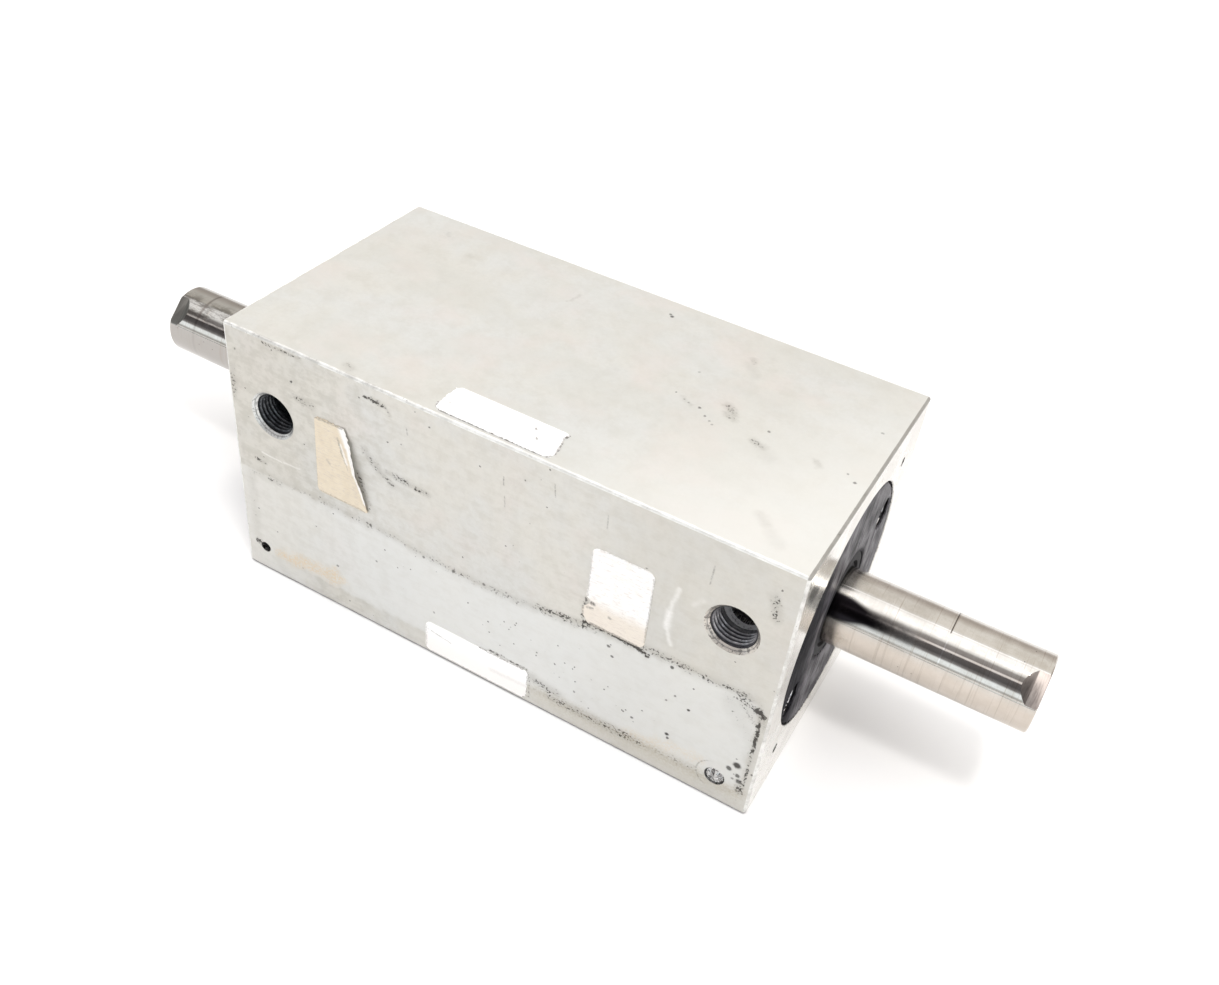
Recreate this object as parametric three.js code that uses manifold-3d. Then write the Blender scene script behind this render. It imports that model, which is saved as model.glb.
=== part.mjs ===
// A square-bodied pneumatic actuator with one rod through both ends.
// Millimetres. Origin: centre of the body's bottom face. +X runs along the rod, +Z is up,
// and the front face, with the two air ports, looks along -Y.
import * as THREE from "three";
import { mergeVertices } from "three/addons/utils/BufferGeometryUtils.js";
import Module from "manifold-3d";

const wasm = await Module();
wasm.setup();

// Driving dimensions.
const BODY_LENGTH = 124.5;
const BODY_WIDTH = 63.5;
const BODY_CHAMFER = 0.6;
const AXIS_HEIGHT = BODY_WIDTH / 2;
const BORE_RADIUS = 25.4;
const STROKE = 50.8;
const PISTON_LENGTH = 25;
const ROD_RADIUS = 7.9375;
const ROD_LENGTH = 207.9;
const ROD_REST_SHIFT = -1.3; // the piston and rod rest this far from the middle of the stroke
const GAP = 0.3; // clearance between pieces that touch on the real object
const SLIDING_CLEARANCE = 0.1; // clearance of what slides on the rod or in the bore
const END_CLEARANCE = 0.3; // left between bumper and cap at each end of the stroke

// End caps: a threaded collar in the end of the body and a nose that reaches into the bore.
const CAP_RADIUS = 25.7;
const CAP_RECESS = 0.2;
const CAP_EDGE = 0.4;
const CAP_COLLAR_LENGTH = 6;
const CAP_NOSE_RADIUS = 20;
const CAP_DEPTH = BODY_LENGTH / 2 - STROKE / 2 - PISTON_LENGTH / 2 - END_CLEARANCE;
const CAP_HOLE_CIRCLE_RADIUS = 21.4;
const CAP_HOLE_RADIUS = 3.3;
const CAP_HOLE_DEPTH = 5;
const CAP_HOLE_CHAMFER = 0.3;
const CAP_HOLE_ANGLE = THREE.MathUtils.degToRad(28.7);
const CAP_GROOVE = { from: 3.5, to: 5.4, radius: 24 }; // inwards from the cap's face
const CAP_O_RING = { middleRadius: 25, sectionRadius: 0.65 };

// What the cap holds round the rod, each given as a radius and a place inwards from the face.
const GLAND_RADIUS = 11.2;
const BUSHING_RADIUS = 9.9;
const RUNNING_RADIUS = ROD_RADIUS + SLIDING_CLEARANCE;
const WEB_RADIUS = 8.5;
const WIPER = { from: 0.3, to: 3.3, lip: 0.8 };
const ROD_SEAL = { from: 4.9, to: 8.3 };
const BUSHING_FROM = 9.8;
const U_CUP = { notch: 0.55, lip: 0.25 }; // shares of a seal's length and of its height

// Air ports and the two small tapped holes of the front face.
const PORT_X = 51.35;
const PORT_ABOVE_AXIS = 13.4;
const PORT_RADIUS = 4.3;
const PORT_MOUTH_RADIUS = 5.1;
const PORT_OVERRUN = 5; // how far the port's cut runs on past the bore's wall
const SMALL_HOLE_RADIUS = 1.4;
const SMALL_HOLE_DEPTH = 8;
const SMALL_HOLE_CHAMFER = 0.2;
const SMALL_HOLE_Z = 6.6;
const LEFT_SMALL_HOLE_X = -57.1;
const RIGHT_SMALL_HOLE_X = 54.5;
const SCREW_SEAT = { radius: 2.2, depth: 1.3 };
const SCREW = { headRadius: 1.9, headHeight: 0.9, shankLength: 5, slotWidth: 0.6, slotDepth: 0.25 };
const PIN_HOLE = { radius: 1, depth: 4, offset: 21.7 };

// Wrench flats and tapped holes at the rod's two ends.
const FLAT_DISTANCE = 7.15; // from the rod's axis to each flat
const FLAT_LENGTH = 2.2;
const FLAT_RUN_OUT = 1.9;
const FLAT_ANGLE = THREE.MathUtils.degToRad(45); // the flats look this far above -Y
const ROD_HOLE_RADIUS = 4.2;
const ROD_HOLE_DEPTH = 19;
const ROD_HOLE_CHAMFER = 0.8;
const ROD_EDGE = 0.25;

// Piston, with its places given from its own middle and the same at both ends.
const PISTON_BODY_HALF = PISTON_LENGTH / 2 - 1;
const PISTON_RADIUS = BORE_RADIUS - 0.25;
const PISTON_EDGE = 0.4;
const PISTON_SEAL = { from: 6.3, to: 9.6, innerRadius: 21.2 };
const TAPE = { half: 3, innerRadius: 23.6 };
const BUMPER = { innerRadius: 14, outerRadius: 18, depth: 2, edge: 0.4 };
const INNER_O_RING = { grooveHalf: 1.1, grooveRadius: 9.9, middleRadius: 8.96, sectionRadius: 0.7 };
const RETAINER = { from: 8.9, thickness: 1.3, outerRadius: 10.4, innerRadius: 7.4, eyeRadius: 0.5 };
const RETAINER_OPENING = THREE.MathUtils.degToRad(22);
const RETAINER_RECESS_RADIUS = 11.5;

// Labels. Front ones are placed by x and by height above the bottom face, the top one by x and y.
const LABEL_THICKNESS = 0.15;
const FRONT_STICKER = { width: 12.8, height: 19.2, corner: 1.6, x: 29.4, z: 40.2 };
const BOTTOM_LABEL = { width: 25.4, height: 8.4, corner: 1.4, x: -0.8, z: 5.1 };
const TOP_LABEL = { width: 25.4, height: 8.2, corner: 1.4, x: 0, y: -26.7 };

const BODY_SEGMENTS = 32;
const ROD_SEGMENTS = 24;
const SMALL_SEGMENTS = 16;

const finish = (color, roughness, metalness) =>
  new THREE.MeshStandardMaterial({ color, roughness, metalness });
const MATERIALS = {
  aluminium: finish(0xd6d4cc, 0.5, 0.9),
  blackAnodised: finish(0x2b2b2e, 0.45, 0.6),
  chromedSteel: finish(0xd2d0cc, 0.12, 1),
  springSteel: finish(0x6a6c70, 0.35, 1),
  bronze: finish(0xa87c46, 0.4, 1),
  rubber: finish(0x18181a, 0.75, 0),
  urethane: finish(0x2e3a52, 0.6, 0),
  bearingTape: finish(0x5a4334, 0.6, 0),
  paper: finish(0xf3f0ea, 0.8, 0),
  agedPaper: finish(0xe6d8c0, 0.85, 0),
};

// Solids: closed geometry in, closed geometry out.
function solidFrom(geometry) {
  const bare = geometry.clone();
  bare.deleteAttribute("normal");
  bare.deleteAttribute("uv");
  const merged = mergeVertices(bare, 1e-4);
  return new wasm.Manifold(
    new wasm.Mesh({
      numProp: 3,
      vertProperties: new Float32Array(merged.attributes.position.array),
      triVerts: new Uint32Array(merged.index.array),
    }),
  );
}

function geometryFrom(solid) {
  const { vertProperties, triVerts } = solid.getMesh();
  const geometry = new THREE.BufferGeometry();
  geometry.setAttribute("position", new THREE.BufferAttribute(vertProperties, 3));
  geometry.setIndex(new THREE.BufferAttribute(triVerts, 1));
  geometry.computeVertexNormals();
  return geometry;
}

function cut(geometry, ...tools) {
  const whole = solidFrom(geometry);
  return geometryFrom(tools.reduce((left, tool) => left.subtract(solidFrom(tool)), whole));
}

// A piece turned about the X axis from [x, radius] corners, given with x rising along the outside.
function turned(corners, segments) {
  const points = corners.map(([x, radius]) => new THREE.Vector2(radius, x));
  return new THREE.LatheGeometry(points, segments).rotateZ(-Math.PI / 2);
}

// A ring about the X axis: its outside corners with x rising, then its bore.
function ring(outside, boreRadius, segments) {
  const first = outside[0];
  const last = outside.at(-1);
  const start = [first[0], boreRadius];
  return turned([start, ...outside, [last[0], boreRadius], start], segments);
}

function plainRing(fromX, toX, boreRadius, radius, segments) {
  const outside = [
    [fromX, radius],
    [toX, radius],
  ];
  return ring(outside, boreRadius, segments);
}

// A hole to cut along +X from x = 0 down to -depth, with a conical mouth.
function drilled(radius, depth, mouthRadius = radius) {
  const over = 1;
  const mouthDepth = mouthRadius - radius;
  return turned(
    [[-depth, 0], [-depth, radius], [-mouthDepth, radius], [over, mouthRadius + over], [over, 0]],
    SMALL_SEGMENTS,
  );
}

// An O-ring: a round section swept about the X axis.
function torus({ middleRadius, sectionRadius }, segments) {
  const sectionSegments = 6;
  const geometry = new THREE.TorusGeometry(middleRadius, sectionRadius, sectionSegments, segments);
  return geometry.rotateY(Math.PI / 2);
}

function named(name, geometry, material) {
  const mesh = new THREE.Mesh(geometry, material);
  mesh.name = name;
  return mesh;
}

// Body: a chamfered square bar, bored through, with a wider seat for each cap.
function chamferedBar() {
  const half = BODY_WIDTH / 2;
  const inner = half - BODY_CHAMFER;
  const outline = new THREE.Shape();
  outline.moveTo(-half, -inner);
  outline.lineTo(-inner, -half);
  outline.lineTo(inner, -half);
  outline.lineTo(half, -inner);
  outline.lineTo(half, inner);
  outline.lineTo(inner, half);
  outline.lineTo(-inner, half);
  outline.lineTo(-half, inner);
  outline.closePath();
  return new THREE.ExtrudeGeometry(outline, {
    depth: BODY_LENGTH - 2 * BODY_CHAMFER,
    bevelThickness: BODY_CHAMFER,
    bevelSize: BODY_CHAMFER,
    bevelOffset: -BODY_CHAMFER,
    bevelSegments: 1,
  })
    .translate(0, 0, BODY_CHAMFER - BODY_LENGTH / 2)
    .rotateY(Math.PI / 2);
}

function boreTool() {
  const seat = BODY_LENGTH / 2 - CAP_RECESS - CAP_COLLAR_LENGTH - GAP;
  const seatRadius = CAP_RADIUS + GAP;
  const past = BODY_LENGTH / 2 + 1;
  return turned(
    [
      [-past, 0],
      [-past, seatRadius],
      [-seat, seatRadius],
      [-seat, BORE_RADIUS],
      [seat, BORE_RADIUS],
      [seat, seatRadius],
      [past, seatRadius],
      [past, 0],
    ],
    BODY_SEGMENTS,
  );
}

function frontHole(x, aboveAxis, radius, depth, mouthRadius) {
  return drilled(radius, depth, mouthRadius)
    .rotateZ(-Math.PI / 2)
    .translate(x, -BODY_WIDTH / 2, aboveAxis);
}

function bodyBlock() {
  const portTop = PORT_ABOVE_AXIS + PORT_RADIUS;
  const wall = BODY_WIDTH / 2 - Math.sqrt(BORE_RADIUS ** 2 - portTop ** 2);
  const portDepth = wall + PORT_OVERRUN;
  const smallHoleZ = SMALL_HOLE_Z - AXIS_HEIGHT;
  const tools = [boreTool()];
  for (const side of [-1, 1]) {
    tools.push(frontHole(side * PORT_X, PORT_ABOVE_AXIS, PORT_RADIUS, portDepth, PORT_MOUTH_RADIUS));
    for (const corner of [-1, 1]) {
      tools.push(
        drilled(PIN_HOLE.radius, PIN_HOLE.depth)
          .rotateY(side > 0 ? 0 : Math.PI)
          .translate((side * BODY_LENGTH) / 2, side * corner * PIN_HOLE.offset, corner * PIN_HOLE.offset),
      );
    }
  }
  for (const x of [LEFT_SMALL_HOLE_X, RIGHT_SMALL_HOLE_X])
    tools.push(
      frontHole(x, smallHoleZ, SMALL_HOLE_RADIUS, SMALL_HOLE_DEPTH, SMALL_HOLE_RADIUS + SMALL_HOLE_CHAMFER),
    );
  tools.push(
    frontHole(RIGHT_SMALL_HOLE_X, smallHoleZ, SCREW_SEAT.radius, SCREW_SEAT.depth, SCREW_SEAT.radius),
  );
  return cut(chamferedBar(), ...tools);
}

// The flat-bottomed tapped holes in a cap's face, where a pin spanner also fits.
function capHoles() {
  return [0, Math.PI].map((turn) =>
    drilled(CAP_HOLE_RADIUS, CAP_HOLE_DEPTH, CAP_HOLE_RADIUS + CAP_HOLE_CHAMFER).translate(
      -CAP_RECESS,
      CAP_HOLE_CIRCLE_RADIUS * Math.cos(CAP_HOLE_ANGLE + turn),
      CAP_HOLE_CIRCLE_RADIUS * Math.sin(CAP_HOLE_ANGLE + turn),
    ),
  );
}

// Cap, in the frame of its end: x = 0 is the body's end face and +X points out of it.
function endCap() {
  const face = -CAP_RECESS;
  const collarEnd = face - CAP_COLLAR_LENGTH;
  const noseEnd = -CAP_DEPTH;
  const outside = [
    [noseEnd, CAP_NOSE_RADIUS - CAP_EDGE],
    [noseEnd + CAP_EDGE, CAP_NOSE_RADIUS],
    [collarEnd, CAP_NOSE_RADIUS],
    [collarEnd, CAP_RADIUS],
    [face - CAP_GROOVE.to, CAP_RADIUS],
    [face - CAP_GROOVE.to, CAP_GROOVE.radius],
    [face - CAP_GROOVE.from, CAP_GROOVE.radius],
    [face - CAP_GROOVE.from, CAP_RADIUS],
    [face - CAP_EDGE, CAP_RADIUS],
    [face, CAP_RADIUS - CAP_EDGE],
  ];
  const bore = [
    [face, GLAND_RADIUS],
    [-(WIPER.to + GAP), GLAND_RADIUS],
    [-(WIPER.to + GAP), WEB_RADIUS],
    [-(ROD_SEAL.from - GAP), WEB_RADIUS],
    [-(ROD_SEAL.from - GAP), GLAND_RADIUS],
    [-(ROD_SEAL.to + GAP), GLAND_RADIUS],
    [-(ROD_SEAL.to + GAP), WEB_RADIUS],
    [-(BUSHING_FROM - GAP), WEB_RADIUS],
    [-(BUSHING_FROM - GAP), BUSHING_RADIUS + GAP],
    [noseEnd, BUSHING_RADIUS + GAP],
  ];
  return cut(turned([...outside, ...bore, outside[0]], BODY_SEGMENTS), ...capHoles());
}

function rodWiper() {
  const outer = GLAND_RADIUS - GAP;
  return turned(
    [
      [-WIPER.to, WEB_RADIUS],
      [-WIPER.to, outer],
      [-WIPER.from, outer],
      [-WIPER.from, WEB_RADIUS + WIPER.lip],
      [-WIPER.from - WIPER.lip, WEB_RADIUS + WIPER.lip],
      [-WIPER.from, RUNNING_RADIUS],
      [-WIPER.to, WEB_RADIUS],
    ],
    ROD_SEGMENTS,
  );
}

// A U-cup about the X axis from x = 0 to x = length, open at its far end.
function uCup(innerRadius, outerRadius, length, segments) {
  const middle = (innerRadius + outerRadius) / 2;
  const lip = (outerRadius - innerRadius) * U_CUP.lip;
  return turned(
    [
      [0, innerRadius],
      [0, outerRadius],
      [length, outerRadius],
      [length, outerRadius - lip],
      [length * (1 - U_CUP.notch), middle],
      [length, innerRadius + lip],
      [length, innerRadius],
      [0, innerRadius],
    ],
    segments,
  );
}

function endPieces(side) {
  const noseEnd = -CAP_DEPTH;
  const grooveMiddle = -CAP_RECESS - (CAP_GROOVE.from + CAP_GROOVE.to) / 2;
  const sealLength = ROD_SEAL.to - ROD_SEAL.from;
  const end = new THREE.Group();
  const seal = uCup(RUNNING_RADIUS, GLAND_RADIUS - GAP, sealLength, ROD_SEGMENTS)
    .rotateY(Math.PI)
    .translate(-ROD_SEAL.from, 0, 0);
  const oRing = torus(CAP_O_RING, BODY_SEGMENTS).translate(grooveMiddle, 0, 0);
  end.add(
    named(side + "_end_cap", endCap(), MATERIALS.blackAnodised),
    named(side + "_cap_o_ring", oRing, MATERIALS.rubber),
    named(side + "_rod_wiper", rodWiper(), MATERIALS.rubber),
    named(side + "_rod_seal", seal, MATERIALS.urethane),
    named(
      side + "_rod_bushing",
      plainRing(noseEnd + GAP, -BUSHING_FROM, RUNNING_RADIUS, BUSHING_RADIUS, ROD_SEGMENTS),
      MATERIALS.bronze,
    ),
  );
  return end;
}

// Piston, about its own middle, with grooves for its seals, bearing tape and inner O-ring,
// and in each face a ring recess for the bumper round a recess for the retaining ring.

function mirrored(corners) {
  return corners.map(([x, radius]) => [-x, radius]).reverse();
}

function pistonBody() {
  const half = PISTON_BODY_HALF;
  const floor = PISTON_SEAL.innerRadius - GAP;
  const rightOutside = [
    [TAPE.half + GAP, TAPE.innerRadius - GAP],
    [TAPE.half + GAP, PISTON_RADIUS],
    [PISTON_SEAL.from - GAP, PISTON_RADIUS],
    [PISTON_SEAL.from - GAP, floor],
    [PISTON_SEAL.to + GAP, floor],
    [PISTON_SEAL.to + GAP, PISTON_RADIUS],
    [half - PISTON_EDGE, PISTON_RADIUS],
    [half, PISTON_RADIUS - PISTON_EDGE],
  ];
  const rightInside = [
    [half, BUMPER.outerRadius + GAP],
    [half - BUMPER.depth, BUMPER.outerRadius + GAP],
    [half - BUMPER.depth, BUMPER.innerRadius - GAP],
    [half, BUMPER.innerRadius - GAP],
    [half, RETAINER_RECESS_RADIUS],
    [RETAINER.from - GAP, RETAINER_RECESS_RADIUS],
    [RETAINER.from - GAP, RUNNING_RADIUS],
    [INNER_O_RING.grooveHalf, RUNNING_RADIUS],
    [INNER_O_RING.grooveHalf, INNER_O_RING.grooveRadius],
  ];
  const leftOutside = mirrored(rightOutside);
  return turned(
    [...leftOutside, ...rightOutside, ...rightInside, ...mirrored(rightInside), leftOutside[0]],
    BODY_SEGMENTS,
  );
}

function bumper() {
  const tip = PISTON_LENGTH / 2;
  const outside = [
    [PISTON_BODY_HALF - BUMPER.depth + GAP, BUMPER.outerRadius],
    [tip - BUMPER.edge, BUMPER.outerRadius],
    [tip, BUMPER.outerRadius - BUMPER.edge],
  ];
  return ring(outside, BUMPER.innerRadius, ROD_SEGMENTS);
}

function pistonAssembly() {
  const slidingRadius = BORE_RADIUS - SLIDING_CLEARANCE;
  const assembly = new THREE.Group();
  assembly.add(
    named("piston", pistonBody(), MATERIALS.aluminium),
    named(
      "piston_bearing_tape",
      plainRing(-TAPE.half, TAPE.half, TAPE.innerRadius, slidingRadius, BODY_SEGMENTS),
      MATERIALS.bearingTape,
    ),
    named("piston_o_ring", torus(INNER_O_RING, ROD_SEGMENTS), MATERIALS.rubber),
  );
  for (const side of ["right", "left"]) {
    const half = new THREE.Group();
    const sealLength = PISTON_SEAL.to - PISTON_SEAL.from;
    const seal = uCup(PISTON_SEAL.innerRadius, slidingRadius, sealLength, BODY_SEGMENTS);
    half.add(
      named("piston_seal_" + side, seal.translate(PISTON_SEAL.from, 0, 0), MATERIALS.urethane),
      named("piston_bumper_" + side, bumper(), MATERIALS.rubber),
      named("rod_retaining_ring_" + side, retainingRing(), MATERIALS.springSteel),
    );
    half.rotation.y = side === "right" ? 0 : Math.PI;
    assembly.add(half);
  }
  return assembly;
}

// A C-shaped spring ring with a round eye at each end, lying across the X axis.
function retainingRing() {
  const opening = RETAINER_OPENING;
  const { innerRadius, outerRadius, thickness, from, eyeRadius } = RETAINER;
  const outline = new THREE.Shape();
  outline.absarc(0, 0, outerRadius, opening, 2 * Math.PI - opening, false);
  outline.absarc(0, 0, innerRadius, 2 * Math.PI - opening, opening, true);
  outline.closePath();
  const middle = (innerRadius + outerRadius) / 2;
  const eyeMargin = 0.7;
  const eyeTurn = opening + (eyeRadius + eyeMargin) / middle;
  for (const turn of [eyeTurn, -eyeTurn]) {
    const eye = new THREE.Path();
    const [x, y] = [middle * Math.cos(turn), middle * Math.sin(turn)];
    eye.absarc(x, y, eyeRadius, 0, 2 * Math.PI, true);
    outline.holes.push(eye);
  }
  const options = { depth: thickness, bevelEnabled: false, curveSegments: 9 };
  return new THREE.ExtrudeGeometry(outline, options).rotateY(Math.PI / 2).translate(from, 0, 0);
}

// A block that removes a wrench flat and its sloping run-out, for the rod end at x = 0.
function flatTool() {
  const over = 2;
  const depth = ROD_RADIUS - FLAT_DISTANCE;
  const slope = depth / FLAT_RUN_OUT;
  const outline = new THREE.Shape();
  outline.moveTo(over, FLAT_DISTANCE);
  outline.lineTo(over, ROD_RADIUS + over);
  outline.lineTo(-FLAT_LENGTH - FLAT_RUN_OUT - over / slope, ROD_RADIUS + over);
  outline.lineTo(-FLAT_LENGTH, FLAT_DISTANCE);
  outline.closePath();
  const width = 4 * ROD_RADIUS;
  const block = new THREE.ExtrudeGeometry(outline, { depth: width, bevelEnabled: false });
  return block.translate(0, 0, -width / 2);
}

// Through rod, about its own middle.
function rod() {
  const half = ROD_LENGTH / 2;
  const grooveRadius = RETAINER.innerRadius - GAP;
  const grooveFrom = RETAINER.from - GAP;
  const grooveTo = RETAINER.from + RETAINER.thickness + GAP;
  const rightHalf = [
    [grooveFrom, ROD_RADIUS],
    [grooveFrom, grooveRadius],
    [grooveTo, grooveRadius],
    [grooveTo, ROD_RADIUS],
    [half - ROD_EDGE, ROD_RADIUS],
    [half, ROD_RADIUS - ROD_EDGE],
    [half, 0],
  ];
  const tools = [];
  for (const side of [-1, 1]) {
    const turn = side > 0 ? 0 : Math.PI;
    const hole = drilled(ROD_HOLE_RADIUS, ROD_HOLE_DEPTH, ROD_HOLE_RADIUS + ROD_HOLE_CHAMFER);
    tools.push(hole.rotateY(turn).translate(side * half, 0, 0));
    for (const face of [Math.PI - FLAT_ANGLE, -FLAT_ANGLE])
      tools.push(flatTool().rotateY(turn).rotateX(face).translate(side * half, 0, 0));
  }
  return cut(turned([...mirrored(rightHalf), ...rightHalf], ROD_SEGMENTS), ...tools);
}

// A drive screw in the seat of the right small hole, its head just below the front face.
function accessoryScrew() {
  const { headRadius, headHeight, shankLength, slotWidth, slotDepth } = SCREW;
  const slot = new THREE.BoxGeometry(slotWidth, 2 * slotDepth, 3 * headRadius)
    .rotateY(Math.PI / 5)
    .translate(0, -headHeight, 0);
  const screw = turned(
    [
      [-shankLength, 0],
      [-shankLength, SMALL_HOLE_RADIUS - GAP],
      [0, SMALL_HOLE_RADIUS - GAP],
      [0, headRadius],
      [headHeight * 0.6, headRadius],
      [headHeight, headRadius * 0.6],
      [headHeight, 0],
    ],
    SMALL_SEGMENTS,
  ).rotateZ(-Math.PI / 2);
  return cut(screw, slot);
}

// Labels: thin sheets lying on the body, drawn with x along the body and y up the face.
function roundedLabel({ width, height, corner }) {
  const outline = new THREE.Shape();
  const right = width / 2 - corner;
  const top = height / 2 - corner;
  outline.absarc(right, top, corner, 0, Math.PI / 2, false);
  outline.absarc(-right, top, corner, Math.PI / 2, Math.PI, false);
  outline.absarc(-right, -top, corner, Math.PI, 1.5 * Math.PI, false);
  outline.absarc(right, -top, corner, 1.5 * Math.PI, 2 * Math.PI, false);
  outline.closePath();
  return outline;
}

function tornOutline() {
  const outline = new THREE.Shape();
  outline.moveTo(-40.6, 31.3);
  outline.lineTo(-28.3, 31.3);
  outline.quadraticCurveTo(-27.6, 31.6, -27.9, 33);
  outline.lineTo(-31.6, 47.4);
  outline.lineTo(-32.8, 50.4);
  outline.lineTo(-40.2, 50.2);
  outline.closePath();
  return outline;
}

function sheet(outline) {
  const options = { depth: LABEL_THICKNESS, bevelEnabled: false, curveSegments: 3 };
  return new THREE.ExtrudeGeometry(outline, options);
}

function frontSheet(outline, x = 0, z = 0) {
  return sheet(outline)
    .rotateX(Math.PI / 2)
    .translate(x, -BODY_WIDTH / 2, z);
}

function frontLabel(label) {
  return frontSheet(roundedLabel(label), label.x, label.z);
}

function labels() {
  const topSheet = sheet(roundedLabel(TOP_LABEL)).translate(TOP_LABEL.x, TOP_LABEL.y, BODY_WIDTH);
  return [
    named("torn_sticker", frontSheet(tornOutline()), MATERIALS.agedPaper),
    named("front_sticker", frontLabel(FRONT_STICKER), MATERIALS.paper),
    named("bottom_label", frontLabel(BOTTOM_LABEL), MATERIALS.paper),
    named("top_label", topSheet, MATERIALS.paper),
  ];
}

// Assembly.
const actuator = new THREE.Group();
const axis = new THREE.Group();
axis.position.z = AXIS_HEIGHT;
actuator.add(axis);

const rightEnd = endPieces("right");
rightEnd.position.x = BODY_LENGTH / 2;
const leftEnd = endPieces("left");
leftEnd.position.x = -BODY_LENGTH / 2;
leftEnd.rotation.z = Math.PI;

const moving = pistonAssembly();
moving.position.x = ROD_REST_SHIFT;
moving.add(named("rod", rod(), MATERIALS.chromedSteel));

axis.add(named("body_block", bodyBlock(), MATERIALS.aluminium), rightEnd, leftEnd, moving);

const screw = named("accessory_screw", accessoryScrew(), MATERIALS.springSteel);
screw.position.set(RIGHT_SMALL_HOLE_X, SCREW_SEAT.depth - GAP - BODY_WIDTH / 2, SMALL_HOLE_Z);
actuator.add(screw, ...labels());

export default actuator;
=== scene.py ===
"""A worn pneumatic actuator with a rod through both ends, on a pale floor.

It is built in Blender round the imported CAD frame. Sizes are in millimetres until a mesh is made.
"""

import math

import bmesh
import bpy
from mathutils import Matrix, Vector, noise


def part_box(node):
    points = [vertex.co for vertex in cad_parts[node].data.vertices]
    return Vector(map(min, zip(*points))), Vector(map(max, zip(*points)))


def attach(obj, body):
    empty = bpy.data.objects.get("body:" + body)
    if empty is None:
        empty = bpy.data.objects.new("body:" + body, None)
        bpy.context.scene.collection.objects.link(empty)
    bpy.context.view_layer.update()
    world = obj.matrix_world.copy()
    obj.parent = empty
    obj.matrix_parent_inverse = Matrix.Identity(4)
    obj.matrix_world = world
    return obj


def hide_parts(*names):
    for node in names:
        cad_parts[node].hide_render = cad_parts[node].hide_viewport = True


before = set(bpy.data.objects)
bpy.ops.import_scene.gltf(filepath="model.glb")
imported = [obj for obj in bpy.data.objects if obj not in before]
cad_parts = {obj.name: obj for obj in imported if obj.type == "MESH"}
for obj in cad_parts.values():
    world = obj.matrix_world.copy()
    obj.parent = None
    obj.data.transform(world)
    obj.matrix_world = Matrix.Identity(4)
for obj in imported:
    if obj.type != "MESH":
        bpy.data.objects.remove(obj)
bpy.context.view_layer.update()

MM = 0.001
TURN = 2 * math.pi
TINY = 1e-6
SIDES = {"right": 1, "left": -1}


def corners(node):
    """A CAD node's lowest and highest corner in millimetres."""
    low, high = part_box(node)
    return low / MM, high / MM


BODY_LOW, BODY_HIGH = corners("body_block")
HALF_LENGTH = BODY_HIGH.x
FRONT_Y = BODY_LOW.y
TOP_Z = BODY_HIGH.z
AXIS_Z = (BODY_LOW.z + BODY_HIGH.z) / 2
EDGE_RADIUS = 0.6

CAP_LOW, CAP_HIGH = corners("right_end_cap")
CAP_RADIUS = CAP_HIGH.y
CAP_FACE = CAP_HIGH.x
CAP_INNER = CAP_LOW.x
BORE_RADIUS = 25.4
SEAT_RADIUS = 26.0
SEAT_DEPTH = 6.5
SEAT_LIP = 0.2
CAP_HOLE_CIRCLE = 21.4
CAP_HOLE_ANGLE = math.radians(28.7)
CAP_HOLE_RADIUS = 3.3
CAP_HOLE_TOOTH = 0.38
CAP_HOLE_PITCH = 1.0
CAP_HOLE_DEPTH = 4.6
CAP_HOLE_MOUTH = 3.75

ROD_LOW, ROD_HIGH = corners("rod")
ROD_RADIUS = ROD_HIGH.y
ROD_MIDDLE = (ROD_LOW.x + ROD_HIGH.x) / 2
ROD_HALF = ROD_HIGH.x - ROD_MIDDLE
FLAT_DISTANCE = 7.15
FLAT_LENGTH = 2.2
FLAT_RUN_OUT = 1.9
FLAT_ANGLES = (math.radians(135), math.radians(-45))

PORT_X = 51.35
PORT_ABOVE_AXIS = 13.4
SMALL_HOLE_Z = 6.6
LEFT_SMALL_HOLE_X = -57.1
SCREW_LOW, SCREW_HIGH = corners("accessory_screw")
SCREW_X = (SCREW_LOW.x + SCREW_HIGH.x) / 2
PIN_OFFSET = 21.7

# A port's thread by its crests' radius, and its chamfer with the ring worn into it.
PORT_WALL = 4.1
PORT_TOOTH = 0.45
PORT_PITCH = 0.94
PORT_THREAD_LENGTH = 5.2
PORT_MOUTH = 5.4
PORT_RING = 4.95
PORT_DEPTH = 17.0
# The small holes in the front face as (x, radius, radius of the mouth).
SMALL_HOLES = [(LEFT_SMALL_HOLE_X, 1.15, 1.3), (SCREW_X, 1.4, 1.6)]
SMALL_HOLE_DEPTH = 8.0
PIN_HOLE_RADIUS = 1.0
PIN_HOLE_DEPTH = 4.0
PIN_HOLE_MOUTH = 1.05
SCREW_SEAT_RADIUS = 2.0
SCREW_SEAT_DEPTH = 1.3
SCREW_SEAT_MOUTH = 2.15
# How squarely a flat face looks along an axis, and how far in a hole's wall begins.
SQUARE_ON = 0.99
SKIN = 0.02

FINE = 128
MEDIUM = 64
CHAMFER = 0.4
CUTTER_OVER = 1.0
# A drilled hole's point as a share of its radius, and the shape of a thread's profile.
DRILL_POINT = 0.3
CREST_SLOPE = 1.35
CREST_FLAT = 0.12
# A corner flatter than this isn't rounded, and a fillet takes at most this share of a side.
NEARLY_STRAIGHT = math.radians(172)
FILLET_SHARE = 0.45
CARVED_SHARP_ANGLE = 30
PAPER_SHARP_ANGLE = 50


# ---- Meshes -------------------------------------------------------------------------------------


def added(name, data):
    """A new object in the scene."""
    made = bpy.data.objects.new(name, data)
    bpy.context.scene.collection.objects.link(made)
    return made


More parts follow.
